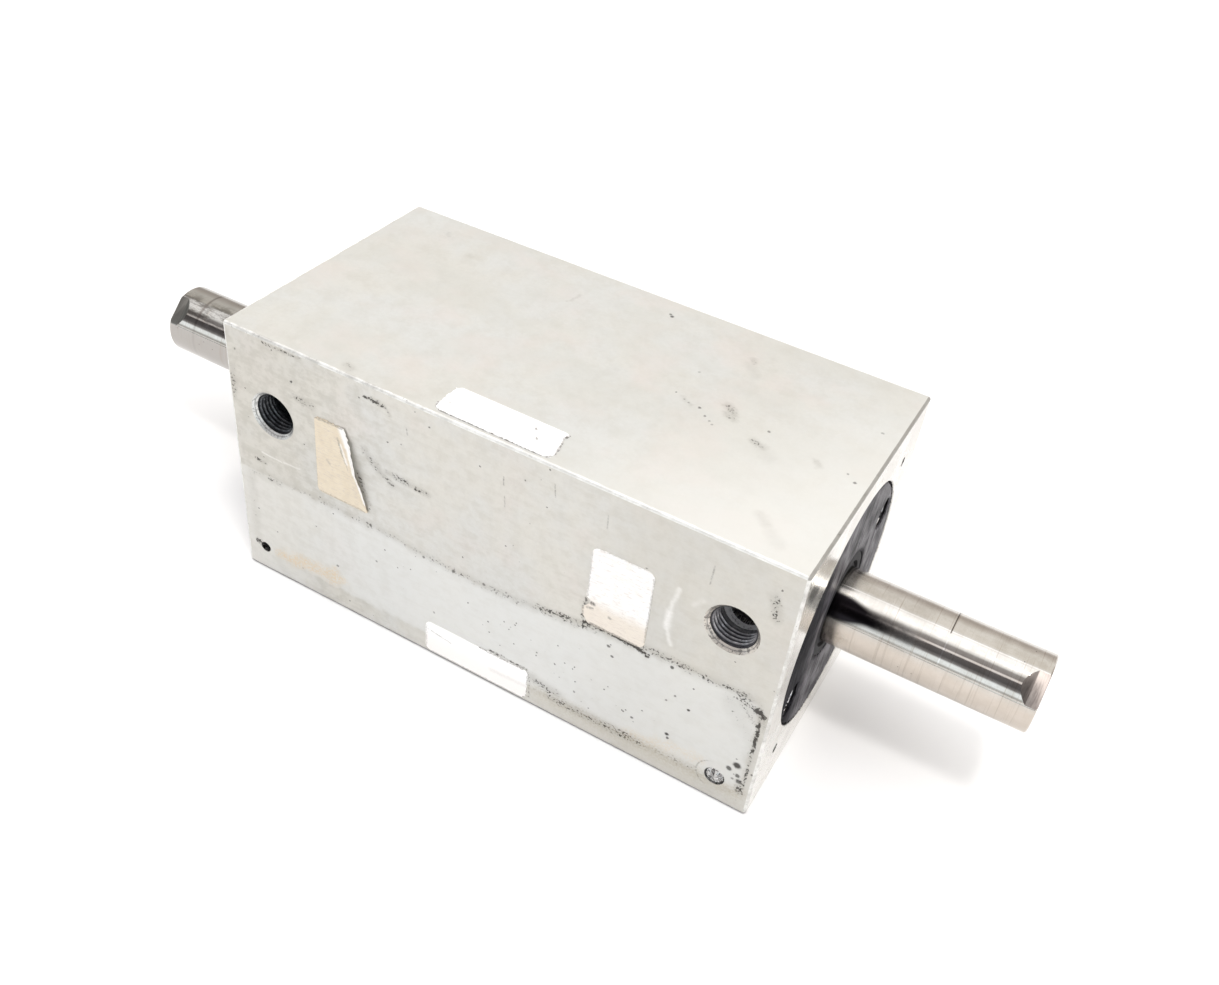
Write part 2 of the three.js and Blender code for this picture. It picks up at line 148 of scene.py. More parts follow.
def piece(name, vertices, faces, sharp_angle=35):
    """A smooth-shaded object from vertices in millimetres, with its faces turned outwards."""
    mesh = bpy.data.meshes.new(name)
    mesh.from_pydata([Vector(vertex) * MM for vertex in vertices], [], faces)
    made = bmesh.new()
    made.from_mesh(mesh)
    bmesh.ops.recalc_face_normals(made, faces=made.faces)
    made.to_mesh(mesh)
    made.free()
    shade(mesh, sharp_angle)
    return added(name, mesh)


def shade(mesh, sharp_angle):
    mesh.shade_smooth()
    mesh.set_sharp_from_angle(angle=math.radians(sharp_angle))


def filleted(outline, radius, steps=4):
    """A closed (x, radius) outline with its corners rounded, less where a side is short."""
    rounded = []
    for index, corner in enumerate(outline):
        here = Vector(corner)
        back = Vector(outline[index - 1]) - here
        ahead = Vector(outline[(index + 1) % len(outline)]) - here
        turn = back.angle(ahead)
        if here.y < TINY or turn > NEARLY_STRAIGHT:
            rounded.append(tuple(here))
            continue
        longest = FILLET_SHARE * min(back.length, ahead.length)
        reach = min(radius / math.tan(turn / 2), longest)
        start = here + back.normalized() * reach
        end = here + ahead.normalized() * reach
        for step in range(steps + 1):
            part = step / steps
            rounded.append(tuple(start.lerp(here, part).lerp(here.lerp(end, part), part)))
    return rounded


def turned_mesh(outline, segments):
    """Vertices and faces of a closed (x, radius) outline turned about the cylinder's axis."""
    vertices = []
    rings = []
    for x, radius in outline:
        first = len(vertices)
        if radius < TINY:
            vertices.append((x, 0, AXIS_Z))
            rings.append([first] * segments)
            continue
        for step in range(segments):
            angle = TURN * step / segments
            vertices.append((x, radius * math.cos(angle), AXIS_Z + radius * math.sin(angle)))
        rings.append(list(range(first, first + segments)))
    faces = []
    for index, ring in enumerate(rings):
        following = rings[(index + 1) % len(rings)]
        for step in range(segments):
            after = (step + 1) % segments
            around = [ring[step], following[step], following[after], ring[after]]
            unique = list(dict.fromkeys(around))
            if len(unique) > 2:
                faces.append(unique)
    return vertices, faces


def turned(name, outline, segments=FINE, fillet=0.0):
    """A turned piece on the cylinder's axis, from a closed outline of (x, radius) corners."""
    shape = filleted(outline, fillet) if fillet else outline
    return piece(name, *turned_mesh(shape, segments))


def mirrored(outline):
    return [(-x, radius) for x, radius in reversed(outline)]


def shifted(outline, by):
    return [(x + by, radius) for x, radius in outline]


def at_side(outline, side):
    """An outline given for the right end, or mirrored for the left end."""
    return outline if side > 0 else mirrored(outline)


def ring_outline(from_x, to_x, bore, radius):
    return [(from_x, bore), (from_x, radius), (to_x, radius), (to_x, bore)]


def torus(name, x, middle, section, segments=FINE, section_segments=16):
    outline = []
    for step in range(section_segments):
        angle = -TURN * step / section_segments
        outline.append((x + section * math.sin(angle), middle + section * math.cos(angle)))
    return turned(name, outline, segments)


def hole_tool(radius_at, depth, mouth, place, segments, rows):
    """A cutter drilled along -X from x = 0: radius_at(depth, turn) is the wall, mouth its chamfer."""
    vertices = [(CUTTER_OVER, 0, 0)]
    faces = []
    levels = [-CUTTER_OVER] + [depth * row / rows for row in range(rows + 1)]
    for level in levels:
        for step in range(segments):
            angle = TURN * step / segments
            radius = max(radius_at(max(level, 0), step / segments), mouth - level)
            vertices.append((-level, radius * math.cos(angle), radius * math.sin(angle)))
    vertices.append((-depth - DRILL_POINT * radius_at(depth, 0), 0, 0))
    last = len(vertices) - 1
    for step in range(segments):
        after = (step + 1) % segments
        faces.append((0, 1 + after, 1 + step))
        for level in range(len(levels) - 1):
            low = 1 + level * segments
            high = low + segments
            faces.append((low + step, low + after, high + after, high + step))
        bottom = 1 + (len(levels) - 1) * segments
        faces.append((last, bottom + step, bottom + after))
    return piece("tool", [place @ Vector(vertex) for vertex in vertices], faces)


def thread(radius, tooth, pitch, length=100.0):
    """The wall of a tapped hole: a 60 degree thread outside the radius, down to its length."""

    def wall(depth, turn):
        along = (depth / pitch - turn) % 1
        left = min(max((length - depth) / pitch, 0), 1)
        slope = CREST_SLOPE * (1 - abs(2 * along - 1)) - CREST_FLAT
        return radius + left * tooth * min(max(slope, 0), 1)

    return wall


def plain(radius):
    return lambda depth, turn: radius


def facing_front(x, z):
    """Puts a hole's mouth in the front face, looking along -Y."""
    return Matrix.Translation((x, FRONT_Y, z)) @ Matrix.Rotation(-math.pi / 2, 4, "Z")


def facing_end(side, x, y, z):
    """Puts a hole's mouth in an end face, looking along +X or -X."""
    turn = Matrix.Identity(4) if side > 0 else Matrix.Rotation(math.pi, 4, "Z")
    return Matrix.Translation((side * x, y, z)) @ turn


def carve(target, tools):
    """Cuts the tools out of the target and deletes them."""
    for tool in tools:
        modifier = target.modifiers.new("carve", "BOOLEAN")
        modifier.operation = "DIFFERENCE"
        modifier.solver = "EXACT"
        modifier.object = tool
    evaluated = target.evaluated_get(bpy.context.evaluated_depsgraph_get())
    mesh = bpy.data.meshes.new_from_object(evaluated)
    old = target.data
    target.modifiers.clear()
    target.data = mesh
    mesh.name = target.name
    bpy.data.meshes.remove(old)
    for tool in tools:
        bpy.data.objects.remove(tool)
    shade(mesh, CARVED_SHARP_ANGLE)
    weighted = target.modifiers.new("weighted", "WEIGHTED_NORMAL")
    weighted.keep_sharp = True


def paint(target, looks, part_of):
    """Gives a piece its materials, and each face the one that part_of picks for it."""
    target.data.materials.clear()
    for look in looks:
        target.data.materials.append(look)
    for face in target.data.polygons:
        face.material_index = part_of(face.center / MM, face.normal)


def show(target, body, slot, node, look=None):
    """Rides a piece on its body, with its look when one is given, in place of a CAD node."""
    if look:
        target.data.materials.append(look)
    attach(target, body)
    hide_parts(node)


# ---- Shader nodes -------------------------------------------------------------------------------


# Sockets of a Mix node that mixes colours.
MIX_FACTOR = 0
MIX_A = 6
MIX_B = 7
MIX_RESULT = 2
NUMBER_RESULTS = ("DOT_PRODUCT", "LENGTH", "DISTANCE")


class Value:
    """A node's output. Arithmetic on it adds the nodes that work the result out."""

    def __init__(self, shader, socket):
        self.shader = shader
        self.socket = socket

    def __add__(self, other):
        return self.shader.math("ADD", self, other)

    def __sub__(self, other):
        return self.shader.math("SUBTRACT", self, other)

    def __rsub__(self, other):
        return self.shader.math("SUBTRACT", other, self)

    def __mul__(self, other):
        return self.shader.math("MULTIPLY", self, other)

    def __abs__(self):
        return self.shader.math("ABSOLUTE", self)

    def fade(self, low, high, to_low=0.0, to_high=1.0):
        """Eases from to_low to to_high while the value goes from low to high."""
        inputs = {"Value": self, "From Min": low, "From Max": high, "To Min": to_low, "To Max": to_high}
        settings = {"interpolation_type": "SMOOTHSTEP"}
        return self.shader.value("ShaderNodeMapRange", "Result", inputs, **settings)

    def mix(self, factor, color):
        """This colour with the given share of another."""
        return self.shader.mix(factor, self, color)


class Shader:
    """A node tree with short calls for the nodes that the looks are built from."""

    def __init__(self, tree, made=None):
        self.tree = tree
        self.made = made
        tree.nodes.clear()

    def add(self, kind, inputs=None, **settings):
        node = self.tree.nodes.new(kind)
        for name, value in settings.items():
            setattr(node, name, value)
        for key, value in (inputs or {}).items():
            self.feed(node.inputs[key], value)
        return node

    def feed(self, socket, value):
        if isinstance(value, Value):
            self.tree.links.new(value.socket, socket)
        else:
            socket.default_value = value

    def value(self, kind, output, inputs=None, **settings):
        """One output of a new node."""
        return Value(self, self.add(kind, inputs, **settings).outputs[output])

    def math(self, operation, a, b=None, clamp=False):
        inputs = {0: a} if b is None else {0: a, 1: b}
        return self.value("ShaderNodeMath", 0, inputs, operation=operation, use_clamp=clamp)

    def most(self, *values):
        result = values[0]
        for value in values[1:]:
            result = self.math("MAXIMUM", result, value)
        return result

    def vector(self, operation, a, b=None, scale=None):
        given = {0: a, 1: b, "Scale": scale}
        inputs = {key: value for key, value in given.items() if value is not None}
        output = "Value" if operation in NUMBER_RESULTS else "Vector"
        return self.value("ShaderNodeVectorMath", output, inputs, operation=operation)

    def noise(self, vector, scale, detail=2.0, roughness=0.5):
        inputs = {"Vector": vector, "Scale": scale, "Detail": detail, "Roughness": roughness}
        return self.value("ShaderNodeTexNoise", "Fac", inputs)

    def mix(self, factor, a, b):
        """Colour a with the given share of colour b; each is a value or (red, green, blue)."""
        a, b = ((*color, 1) if isinstance(color, tuple) else color for color in (a, b))
        inputs = {MIX_FACTOR: factor, MIX_A: a, MIX_B: b}
        return self.value("ShaderNodeMix", MIX_RESULT, inputs, data_type="RGBA")

    def millimetres(self):
        coordinates = self.value("ShaderNodeTexCoord", "Object")
        return self.vector("SCALE", coordinates, scale=1 / MM)

    def split(self, vector):
        node = self.add("ShaderNodeSeparateXYZ", {0: vector})
        return [Value(self, output) for output in node.outputs]

    def join(self, x, y, z=0.0):
        return self.value("ShaderNodeCombineXYZ", 0, {0: x, 1: y, 2: z})

    def stretched(self, vector, scale):
        return self.vector("MULTIPLY", vector, scale)

    def finish(self, color, roughness, height=None, bump=0.2, bump_distance=0.0001, **fixed):
        """The surface, with colour and roughness from nodes and the rest set on its sockets."""
        surface = self.add("ShaderNodeBsdfPrincipled", {"Base Color": color, "Roughness": roughness})
        for name, value in fixed.items():
            surface.inputs[name.replace("_", " ")].default_value = value
        if height is not None:
            inputs = {"Strength": bump, "Distance": bump_distance, "Height": height}
            self.feed(surface.inputs["Normal"], self.value("ShaderNodeBump", 0, inputs))
        self.add("ShaderNodeOutputMaterial", {0: Value(self, surface.outputs[0])})
        return self.made


def material(name):
    """A new material's node tree, and the place on the piece in millimetres."""
    made = bpy.data.materials.new(name)
    made.use_nodes = True
    nodes = Shader(made.node_tree, made)
    return nodes, nodes.millimetres()


def marks(nodes, point, strokes, soft=0.5):
    """Strongest of the strokes at a point: each is (x0, y0, x1, y1, half width, strength)."""
    strongest = None
    for x0, y0, x1, y1, half_width, strength in strokes:
        start = Vector((x0, y0, 0))
        span = Vector((x1, y1, 0)) - start
        if span.length < TINY:
            distance = nodes.vector("DISTANCE", point, start)
        else:
            away = nodes.vector("SUBTRACT", point, start)
            part = nodes.vector("DOT_PRODUCT", away, span / span.length_squared)
            held = nodes.math("ADD", part, 0.0, clamp=True)
            nearest = nodes.vector("SCALE", span, scale=held)
            distance = nodes.vector("DISTANCE", away, nearest)
        mask = distance.fade(half_width * (1 + soft), half_width * (1 - soft), 0.0, strength)
        strongest = nodes.most(strongest, mask) if strongest else mask
    return strongest


def spots(nodes, point, places):
    """Strongest of the round spots at a point: each is (x, y, radius, strength)."""
    strongest = None
    for x, y, radius, strength in places:
        distance = nodes.vector("DISTANCE", point, (x, y, 0))
        mask = distance.fade(radius * 1.4, radius * 0.6, 0.0, strength)
        strongest = nodes.most(strongest, mask) if strongest else mask
    return strongest


def speckled(density, fine, patchy):
    """Breaks a soft density up into specks by a fine noise, in patches and few where it is low."""
    uneven = density * patchy.fade(0.36, 0.6, 0.45, 1.1)
    specks = (fine + uneven * 0.25).fade(0.64, 0.76)
    return specks * uneven.fade(0.04, 0.6, 0.0, 0.95)


def wobbled(nodes, point, amount, scale):
    """The point pushed about by noise, so that what is drawn at it has a ragged outline."""
    inputs = {"Vector": point, "Scale": scale, "Detail": 3.0}
    color = nodes.value("ShaderNodeTexNoise", "Color", inputs)
    push = nodes.vector("SUBTRACT", color, (0.5, 0.5, 0.5))
    return nodes.vector("ADD", point, nodes.vector("SCALE", push, scale=amount))


# ---- Body materials -----------------------------------------------------------------------------

WARM_ALUMINIUM = (0.675, 0.66, 0.615)
COOL_ALUMINIUM = (0.675, 0.677, 0.66)
CLEAN_ALUMINIUM = (0.70, 0.705, 0.69)
OLD_FILM = (0.47, 0.445, 0.39)
GRIME = (0.035, 0.03, 0.026)
SMUDGE = (0.24, 0.22, 0.19)
OLIVE_GRIME = (0.46, 0.41, 0.32)
RUST_STAIN = (0.66, 0.50, 0.30)
BRIGHT_SCRATCH = (0.86, 0.85, 0.83)
PINK_FILM = (0.69, 0.63, 0.60)
GRAIN_TONE = (0.52, 0.51, 0.475)
MOTTLED_TONE = (0.42, 0.405, 0.36)
TOP_COOL = (0.61, 0.635, 0.635)
TOP_HAZE = (0.59, 0.595, 0.565)
# Painted light on the top face, towards its front right corner.
TOP_PAINTED_LIGHT = (0.80, 0.80, 0.775)
EDGE_DULL = (0.55, 0.54, 0.51)
EDGE_RUBBED = (0.80, 0.795, 0.77)
EDGE_AT_END = (0.26, 0.25, 0.23)
EDGE_CLEAN_AND_HIGHLIGHT = (0.90, 0.90, 0.88)
EDGE_SHADED = (0.17, 0.155, 0.145)
MILLED_DARK = (0.66, 0.64, 0.605)
MILLED_LIGHT = (0.78, 0.76, 0.72)
END_PAINTED_LIGHT_LOW = (0.88, 0.86, 0.83)
END_PAINTED_SHADE_HIGH = (0.58, 0.565, 0.53)
MILLED_STAIN = (0.42, 0.37, 0.32)
PORT_BORE_PAINTED_LIGHT = (0.86, 0.86, 0.87)
PORT_SOOT = (0.16, 0.16, 0.17)
# Each port's thread crests, thread roots and chamfer.
LEFT_PORT_TONES = ((0.13, 0.14, 0.15), (0.012, 0.013, 0.015), (0.66, 0.665, 0.65))
RIGHT_PORT_TONES = ((0.36, 0.355, 0.37), (0.045, 0.044, 0.05), (0.62, 0.58, 0.53))
CHAMFER_PIT = (0.12, 0.11, 0.10)
CHAMFER_RING = (0.16, 0.16, 0.16)
HONED_DARK = (0.42, 0.41, 0.40)
HONED_LIGHT = (0.58, 0.57, 0.55)
HOLE_CLEAN = (0.42, 0.41, 0.40)
HOLE_SOOT = (0.018, 0.017, 0.016)

# Speckled dirt on the front face as (x, z, x, z, half width, density) in millimetres; the last entry is
# a painted shadow beside the torn sticker's lifted edge.
FRONT_SPECKLED = [
    (13, 28.4, 22.5, 29.8, 0.7, 0.9), (23.2, 30.5, 34.4, 30.4, 0.5, 1.4),
    (33.6, 30.7, 36.7, 29.7, 0.65, 1.5), (30.3, 30.8, 31.3, 30.5, 0.5, 1.2),
    (22.9, 36.3, 22.6, 31.5, 0.45, 0.85), (59.3, 29.3, 60.4, 28.1, 0.9, 1.5),
    (56.5, 30, 60.8, 26.5, 2.2, 0.6), (60.3, 27, 60.4, 18, 0.35, 1.6),
    (60.3, 18, 60.4, 8, 0.25, 1.0), (59.5, 8.5, 59.9, 5.6, 0.8, 0.9),
    (54.4, 28.4, 59.4, 22, 2.0, 0.34), (12, 8.2, 18.6, 6.8, 1.3, 0.75),
    (12.3, 9.2, 12.4, 2, 0.25, 0.6), (2.5, 9.8, 11.6, 9.7, 0.3, 0.9),
    (17.6, 5.2, 38, 5.2, 1.2, 0.7), (38, 5.2, 50, 5.6, 1.0, 0.45),
    (-22.9, 44.4, -13, 43.6, 0.7, 0.75), (-28.1, 47.4, -24.9, 44.1, 0.9, 0.7),
    (-24.9, 44.1, -21.7, 41.9, 0.7, 0.7), (-27.6, 60.3, -23, 60.1, 0.45, 0.95),
    (-22.8, 59.9, -21.9, 58.6, 0.4, 0.6), (-44.7, 52.8, -41, 52.2, 0.9, 0.7),
    (-60.9, 53, -61.4, 46, 1.0, 0.6), (-52, 62.4, -43, 62.4, 0.35, 0.8),
    (-57.4, 31.9, -54.6, 31.6, 0.35, 0.8), (-54, 27.8, -51, 27.5, 0.6, 0.7),
    (-59.2, 7.4, -58, 7.0, 0.7, 1.3), (57.5, 56.5, 58.5, 51.9, 0.9, 0.65),
    # A painted shadow beside the torn sticker's lifted edge.
    (-27.5, 34, -30, 41, 0.6, 0.7),
]
# Where scattered pits are denser: (x, z, x, z, half width, strength).
FRONT_PITTED = [
    (4.6, 16.4, 14.5, 11.4, 3.8, 1.8), (16, 15, 32, 13.4, 5.0, 1.0), (-22, 22, -4, 24, 3.0, 0.35),
]
# Single dark spots on the front face as (x, z, radius, strength).
FRONT_SPOTS = [
    (46.7, 20.7, 0.3, 1.0), (43.6, 22.7, 0.26, 0.7), (42, 20.5, 0.24, 0.7), (35.7, 11.2, 0.32, 0.8),
    (29.7, 24.9, 0.32, 0.8), (28.7, 27.2, 0.36, 0.8), (41.9, 29.6, 0.4, 0.9),
    (43.4, 11.5, 0.42, 1.0), (43.7, 10.6, 0.32, 0.9), (56.9, 10.8, 0.6, 0.9),
    (58.3, 12.6, 0.8, 1.0), (58.9, 9.9, 0.5, 0.85), (57.9, 14.2, 0.22, 0.6), (59.3, 8.5, 0.5, 0.8),
    (58, 8.5, 0.3, 0.6), (61.5, 12, 0.3, 0.8), (17.7, 15.2, 0.26, 0.7), (22.7, 10.2, 0.24, 0.6),
    (-45.6, 56, 0.28, 0.9), (-59.6, 58, 0.24, 0.6), (-56.6, 31.7, 0.32, 0.9),
    (-27.3, 28.5, 0.34, 0.8), (-14.1, 26.8, 0.32, 0.7), (-6.8, 27, 0.4, 0.8),
    (0.4, 27.4, 0.34, 0.7), (-11.5, 12.6, 0.24, 0.6), (-36.7, 12, 0.34, 0.7),
    (-26.1, 19.1, 0.26, 0.6),
]
# Thin faint scratches: (x, z, x, z, half width, strength).
FRONT_SCRATCHES = [
    (3.6, 56.1, 3.7, 54.3, 0.13, 0.6), (4, 51.8, 4.2, 49.3, 0.12, 0.45),
    (14.2, 59.7, 14.5, 56.8, 0.12, 0.55), (25.2, 58, 25.3, 55, 0.12, 0.5),
    (46, 57.4, 45.8, 53, 0.15, 0.5), (-18, 57.2, -17.8, 55.8, 0.14, 0.6),
]
# Rubbed bright lines, then rust, in the same form.
FRONT_LIGHT = [
    (40.5, 49, 39.4, 42.6, 0.4, 0.5), (39.4, 42.6, 39.4, 38.5, 0.6, 0.75),
    (39.4, 38.5, 40.7, 35, 0.4, 0.5), (43.5, 46.8, 45.2, 48.6, 0.5, 0.25),
    (-55.2, 34.2, -50, 33.9, 0.2, 0.5), (-49.4, 34.2, -45.4, 34.4, 0.2, 0.45),
]
FRONT_RUST = [(-52, 6.8, -37, 8.4, 1.8, 0.75), (36, 6.5, 50, 9, 1.4, 0.3)]
# Soft smudges on the top face as (x, y, x, y, half width, strength), then its spots.
TOP_SMUDGES = [
    (27.8, 21.6, 28.8, 20.2, 0.7, 0.55), (28.4, 19, 30.8, 16.2, 1.1, 0.3),
    (22.2, 0.8, 24.6, -0.4, 0.5, 0.4), (30.6, 3.7, 32.8, 1.6, 0.9, 0.75),
    (31.2, 1.4, 33.4, 0.2, 0.7, 0.7), (39.4, -3.7, 41.6, -4.4, 0.9, 0.75),
    (41.8, -4.9, 43.8, -6.6, 1.3, 0.25), (51.2, -2.2, 52, -3.1, 0.7, 0.5),
    (-13, 17, -12.2, 20.8, 0.3, 0.45), (-49.3, 25, -48.8, 24.5, 0.6, 0.4),
    (-40, 20, -39.4, 19.6, 0.8, 0.3), (-33.8, -29, -32.4, -29.6, 0.8, 0.5),
    (48.8, -22, 50.8, -23.8, 1.0, 0.35), (52.2, -25.2, 54.4, -27.2, 1.2, 0.25),
]
TOP_SPOTS = [
    (6.6, 26.2, 0.34, 0.8), (7.3, 25.6, 0.42, 0.95), (20.6, 1.55, 0.24, 0.7), (22.9, 0.4, 0.2, 0.5),
    (24.1, -0.1, 0.22, 0.6), (26.5, -0.3, 0.34, 0.85), (28.5, -2.1, 0.28, 0.7),
    (29.9, -3, 0.2, 0.6), (30.8, -3.7, 0.22, 0.5), (21.1, 10.5, 0.25, 0.4), (40.4, 0.8, 0.32, 0.7),
    (57.3, -2.2, 0.28, 0.6), (59.2, -3.8, 0.32, 0.75), (58.3, 13.7, 0.28, 0.5),
]

# The mark of a washer round the screw.
WASHER_RADIUS = 3.9
# The outline of a plate that once lay on the front face: middle, half size and corners, and how
# far its top edge rises towards the right and the left.
WITNESS_CENTRE = (0.5, 16)
WITNESS_HALF = (59.6, 11)
WITNESS_CORNER = 2.6
WITNESS_RISE = 4.2
WITNESS_LEFT_RISE = 1.4
# How much grime is left along that outline, as (x, share).
GRIME_ALONG = [(-60, 0.36), (-26, 0.54), (-8, 0.56), (6, 0.64), (20, 0.85), (40, 0.8)]


def surface_tone(nodes, point):
    """Cloudy warm and cool aluminium with a fine grain, and the noise that it came from."""
    cloud = nodes.noise(point, 0.05, detail=5.0, roughness=0.62)
    tone = nodes.mix(cloud.fade(0.38, 0.62), WARM_ALUMINIUM, COOL_ALUMINIUM)
    film = nodes.noise(nodes.vector("ADD", point, (40, 10, 70)), 0.08, detail=4.0)
    tone = tone.mix(film.fade(0.54, 0.74, 0.0, 0.45), PINK_FILM)
    grain = nodes.noise(point, 1.1, detail=6.0, roughness=0.72)
    return tone.mix(grain.fade(0.3, 0.7, 0.0, 0.24), GRAIN_TONE), cloud, grain


def pits(nodes, point, scale, size, share):
    """Scattered small pits: one possible pit in each cell, kept in the given share of them."""
    cells = nodes.add("ShaderNodeTexVoronoi", {"Vector": point, "Scale": scale})
    color, distance = (Value(nodes, cells.outputs[name]) for name in ("Color", "Distance"))
    kept = nodes.math("GREATER_THAN", share, nodes.split(color)[0])
    spot = distance.fade(size * scale, 0.5 * size * scale)
    return spot * kept


def witness(nodes, x, z, ragged):
    """Signed distance to the outline where a plate once lay on the front face."""
    rise = x.fade(0, 42, 0, WITNESS_RISE) + x.fade(-6, -28, 0, WITNESS_LEFT_RISE)
    half_rise = rise * 0.5
    across = abs(x - WITNESS_CENTRE[0])
    middle = half_rise + WITNESS_CENTRE[1]
    up = abs(z - middle)
    out_x = across - (WITNESS_HALF[0] - WITNESS_CORNER)
    out_z = up - half_rise - (WITNESS_HALF[1] - WITNESS_CORNER)
    outside = nodes.join(nodes.math("MAXIMUM", out_x, 0.0), nodes.math("MAXIMUM", out_z, 0.0))
    inside = nodes.math("MINIMUM", nodes.math("MAXIMUM", out_x, out_z), 0.0)
    rim = nodes.vector("LENGTH", outside) - WITNESS_CORNER
    return rim + inside + ragged * 1.6


def grime_share(x):
    """How much grime is left along the plate's outline, from the left end to the right."""
    (before_x, before), *rest = GRIME_ALONG
    total = before
    for here_x, here in rest:
        total = x.fade(before_x, here_x, 0, here - before) + total
        before_x, before = here_x, here
    return total


def front_dirt(nodes, flat, x, z, distance, fine):
    """Specks along the plate's outline and in patches, with single spots and scratches."""
    near = abs(distance).fade(2.0, 0.0)
    edge = near * grime_share(x) * z.fade(7, 14, 0.35, 0.9)
    edge = edge * x.fade(57, 59.5, 1.0, 0.45)
    patches = marks(nodes, wobbled(nodes, flat, 1.2, 0.9), FRONT_SPECKLED, 0.95)
    patchy = nodes.noise(flat, 0.42, detail=3.0, roughness=0.6)
    specks = speckled(nodes.most(edge, patches), fine, patchy)
    ragged = wobbled(nodes, flat, 0.5, 1.7)
    dirt = nodes.most(specks, spots(nodes, ragged, FRONT_SPOTS))
    scratches = marks(nodes, wobbled(nodes, flat, 0.25, 0.8), FRONT_SCRATCHES, 0.9)
    scratches = scratches * fine.fade(0.4, 0.6, 0.2, 1.0)
    from_screw = nodes.vector("DISTANCE", flat, (SCREW_X, SMALL_HOLE_Z, 0))
    washer = abs(from_screw - WASHER_RADIUS).fade(0.25, 0.05)
    washer = washer * x.fade(SCREW_X - 0.5, SCREW_X - 3, 0.0, 0.4)
    washer = washer * fine.fade(0.4, 0.56, 0.2, 1.0)
    return nodes.most(dirt, scratches, washer), nodes.most(edge, patches)


def front_films(nodes, tone, flat, x, zone, coarse):
    """Old film and mottling, thinner in the zone that a plate once covered."""
    streaks = nodes.noise(nodes.stretched(flat, (0.16, 0.9, 1.0)), 1.0, detail=5.0, roughness=0.7)
    film = (coarse * 0.6 + streaks * 0.4).fade(0.42, 0.66)
    film = film * zone.fade(0.0, 1.0, 0.35, 0.15)
    tone = tone.mix(zone * x.fade(-52, -25, 0.4, 0.8), CLEAN_ALUMINIUM)
    tone = tone.mix(film, OLD_FILM)
    sides = nodes.most(x.fade(18, 36, 0.2, 0.42), x.fade(-24, -50, 0.2, 0.42))
    sides = sides * zone.fade(0.0, 1.0, 1.0, 0.5)
    tone = tone.mix(sides, OLD_FILM)

    mottled = (coarse * 0.7 + streaks * 0.3).fade(0.42, 0.6)
    mottled = mottled * x.fade(-14, -42, 0.0, 0.36)
    mottled = mottled * zone.fade(0.0, 1.0, 1.0, 0.3)
    return tone.mix(mottled, MOTTLED_TONE)


def front_stains(nodes, tone, flat, x, z, distance, fine, grain):
    """Olive grime and rust low down, and rubbed bright lines."""
    low = z.fade(9, 4.5) * x.fade(2, 22)
    olive = low * abs(distance).fade(3.4, 0.0, 0.25, 1.0)
    tone = tone.mix(olive * fine.fade(0.36, 0.62, 0.15, 0.7), OLIVE_GRIME)
    stain_point = wobbled(nodes, flat, 5.0, 0.3)
    stain = marks(nodes, stain_point, FRONT_RUST, 0.95)
    tone = tone.mix(stain * fine.fade(0.38, 0.62, 0.1, 1.0), RUST_STAIN)
    light = marks(nodes, wobbled(nodes, flat, 0.9, 0.5), FRONT_LIGHT, 0.95)
    light = light * grain.fade(0.3, 0.6, 0.5, 1.0)
    return tone.mix(light, BRIGHT_SCRATCH)


def front_face():
    """The front: speckled, smeared and pitted, and cleaner where a plate once lay."""
    nodes, point = material("front aluminium")
    x, _, z = nodes.split(point)
    flat = nodes.join(x, z)
    tone, cloud, grain = surface_tone(nodes, point)
    fine = nodes.noise(flat, 1.9, detail=4.0, roughness=0.62)
    coarse = nodes.noise(flat, 0.35, detail=4.0, roughness=0.65)
    distance = witness(nodes, x, z, coarse - 0.5)
    left_part = x.fade(-36, -50) * z.fade(28.9, 27.7)
    zone = nodes.most(distance.fade(0.5, -0.9), left_part)
    tone = front_films(nodes, tone, flat, x, zone, coarse)
    tone = front_stains(nodes, tone, flat, x, z, distance, fine, grain)
    dirt, density = front_dirt(nodes, flat, x, z, distance, fine)
    tone = tone.mix(density * 0.36, SMUDGE)
    pitted = marks(nodes, flat, FRONT_PITTED, 0.9) + 0.06
    dots = nodes.most(
        pits(nodes, flat, 0.16, 0.26, 0.3) * 0.6,
        pits(nodes, wobbled(nodes, flat, 0.4, 2.0), 0.62, 0.26, pitted) * 0.8,
    )
    dirt = nodes.most(dirt, dots)
    tone = tone.mix(dirt * 0.88, GRIME)
    rough = cloud.fade(0.3, 0.7, 0.36, 0.5)
    rough = nodes.most(rough, dirt * 0.85)
    return nodes.finish(tone, rough, grain, 0.25, 0.00005, Metallic=0.55)


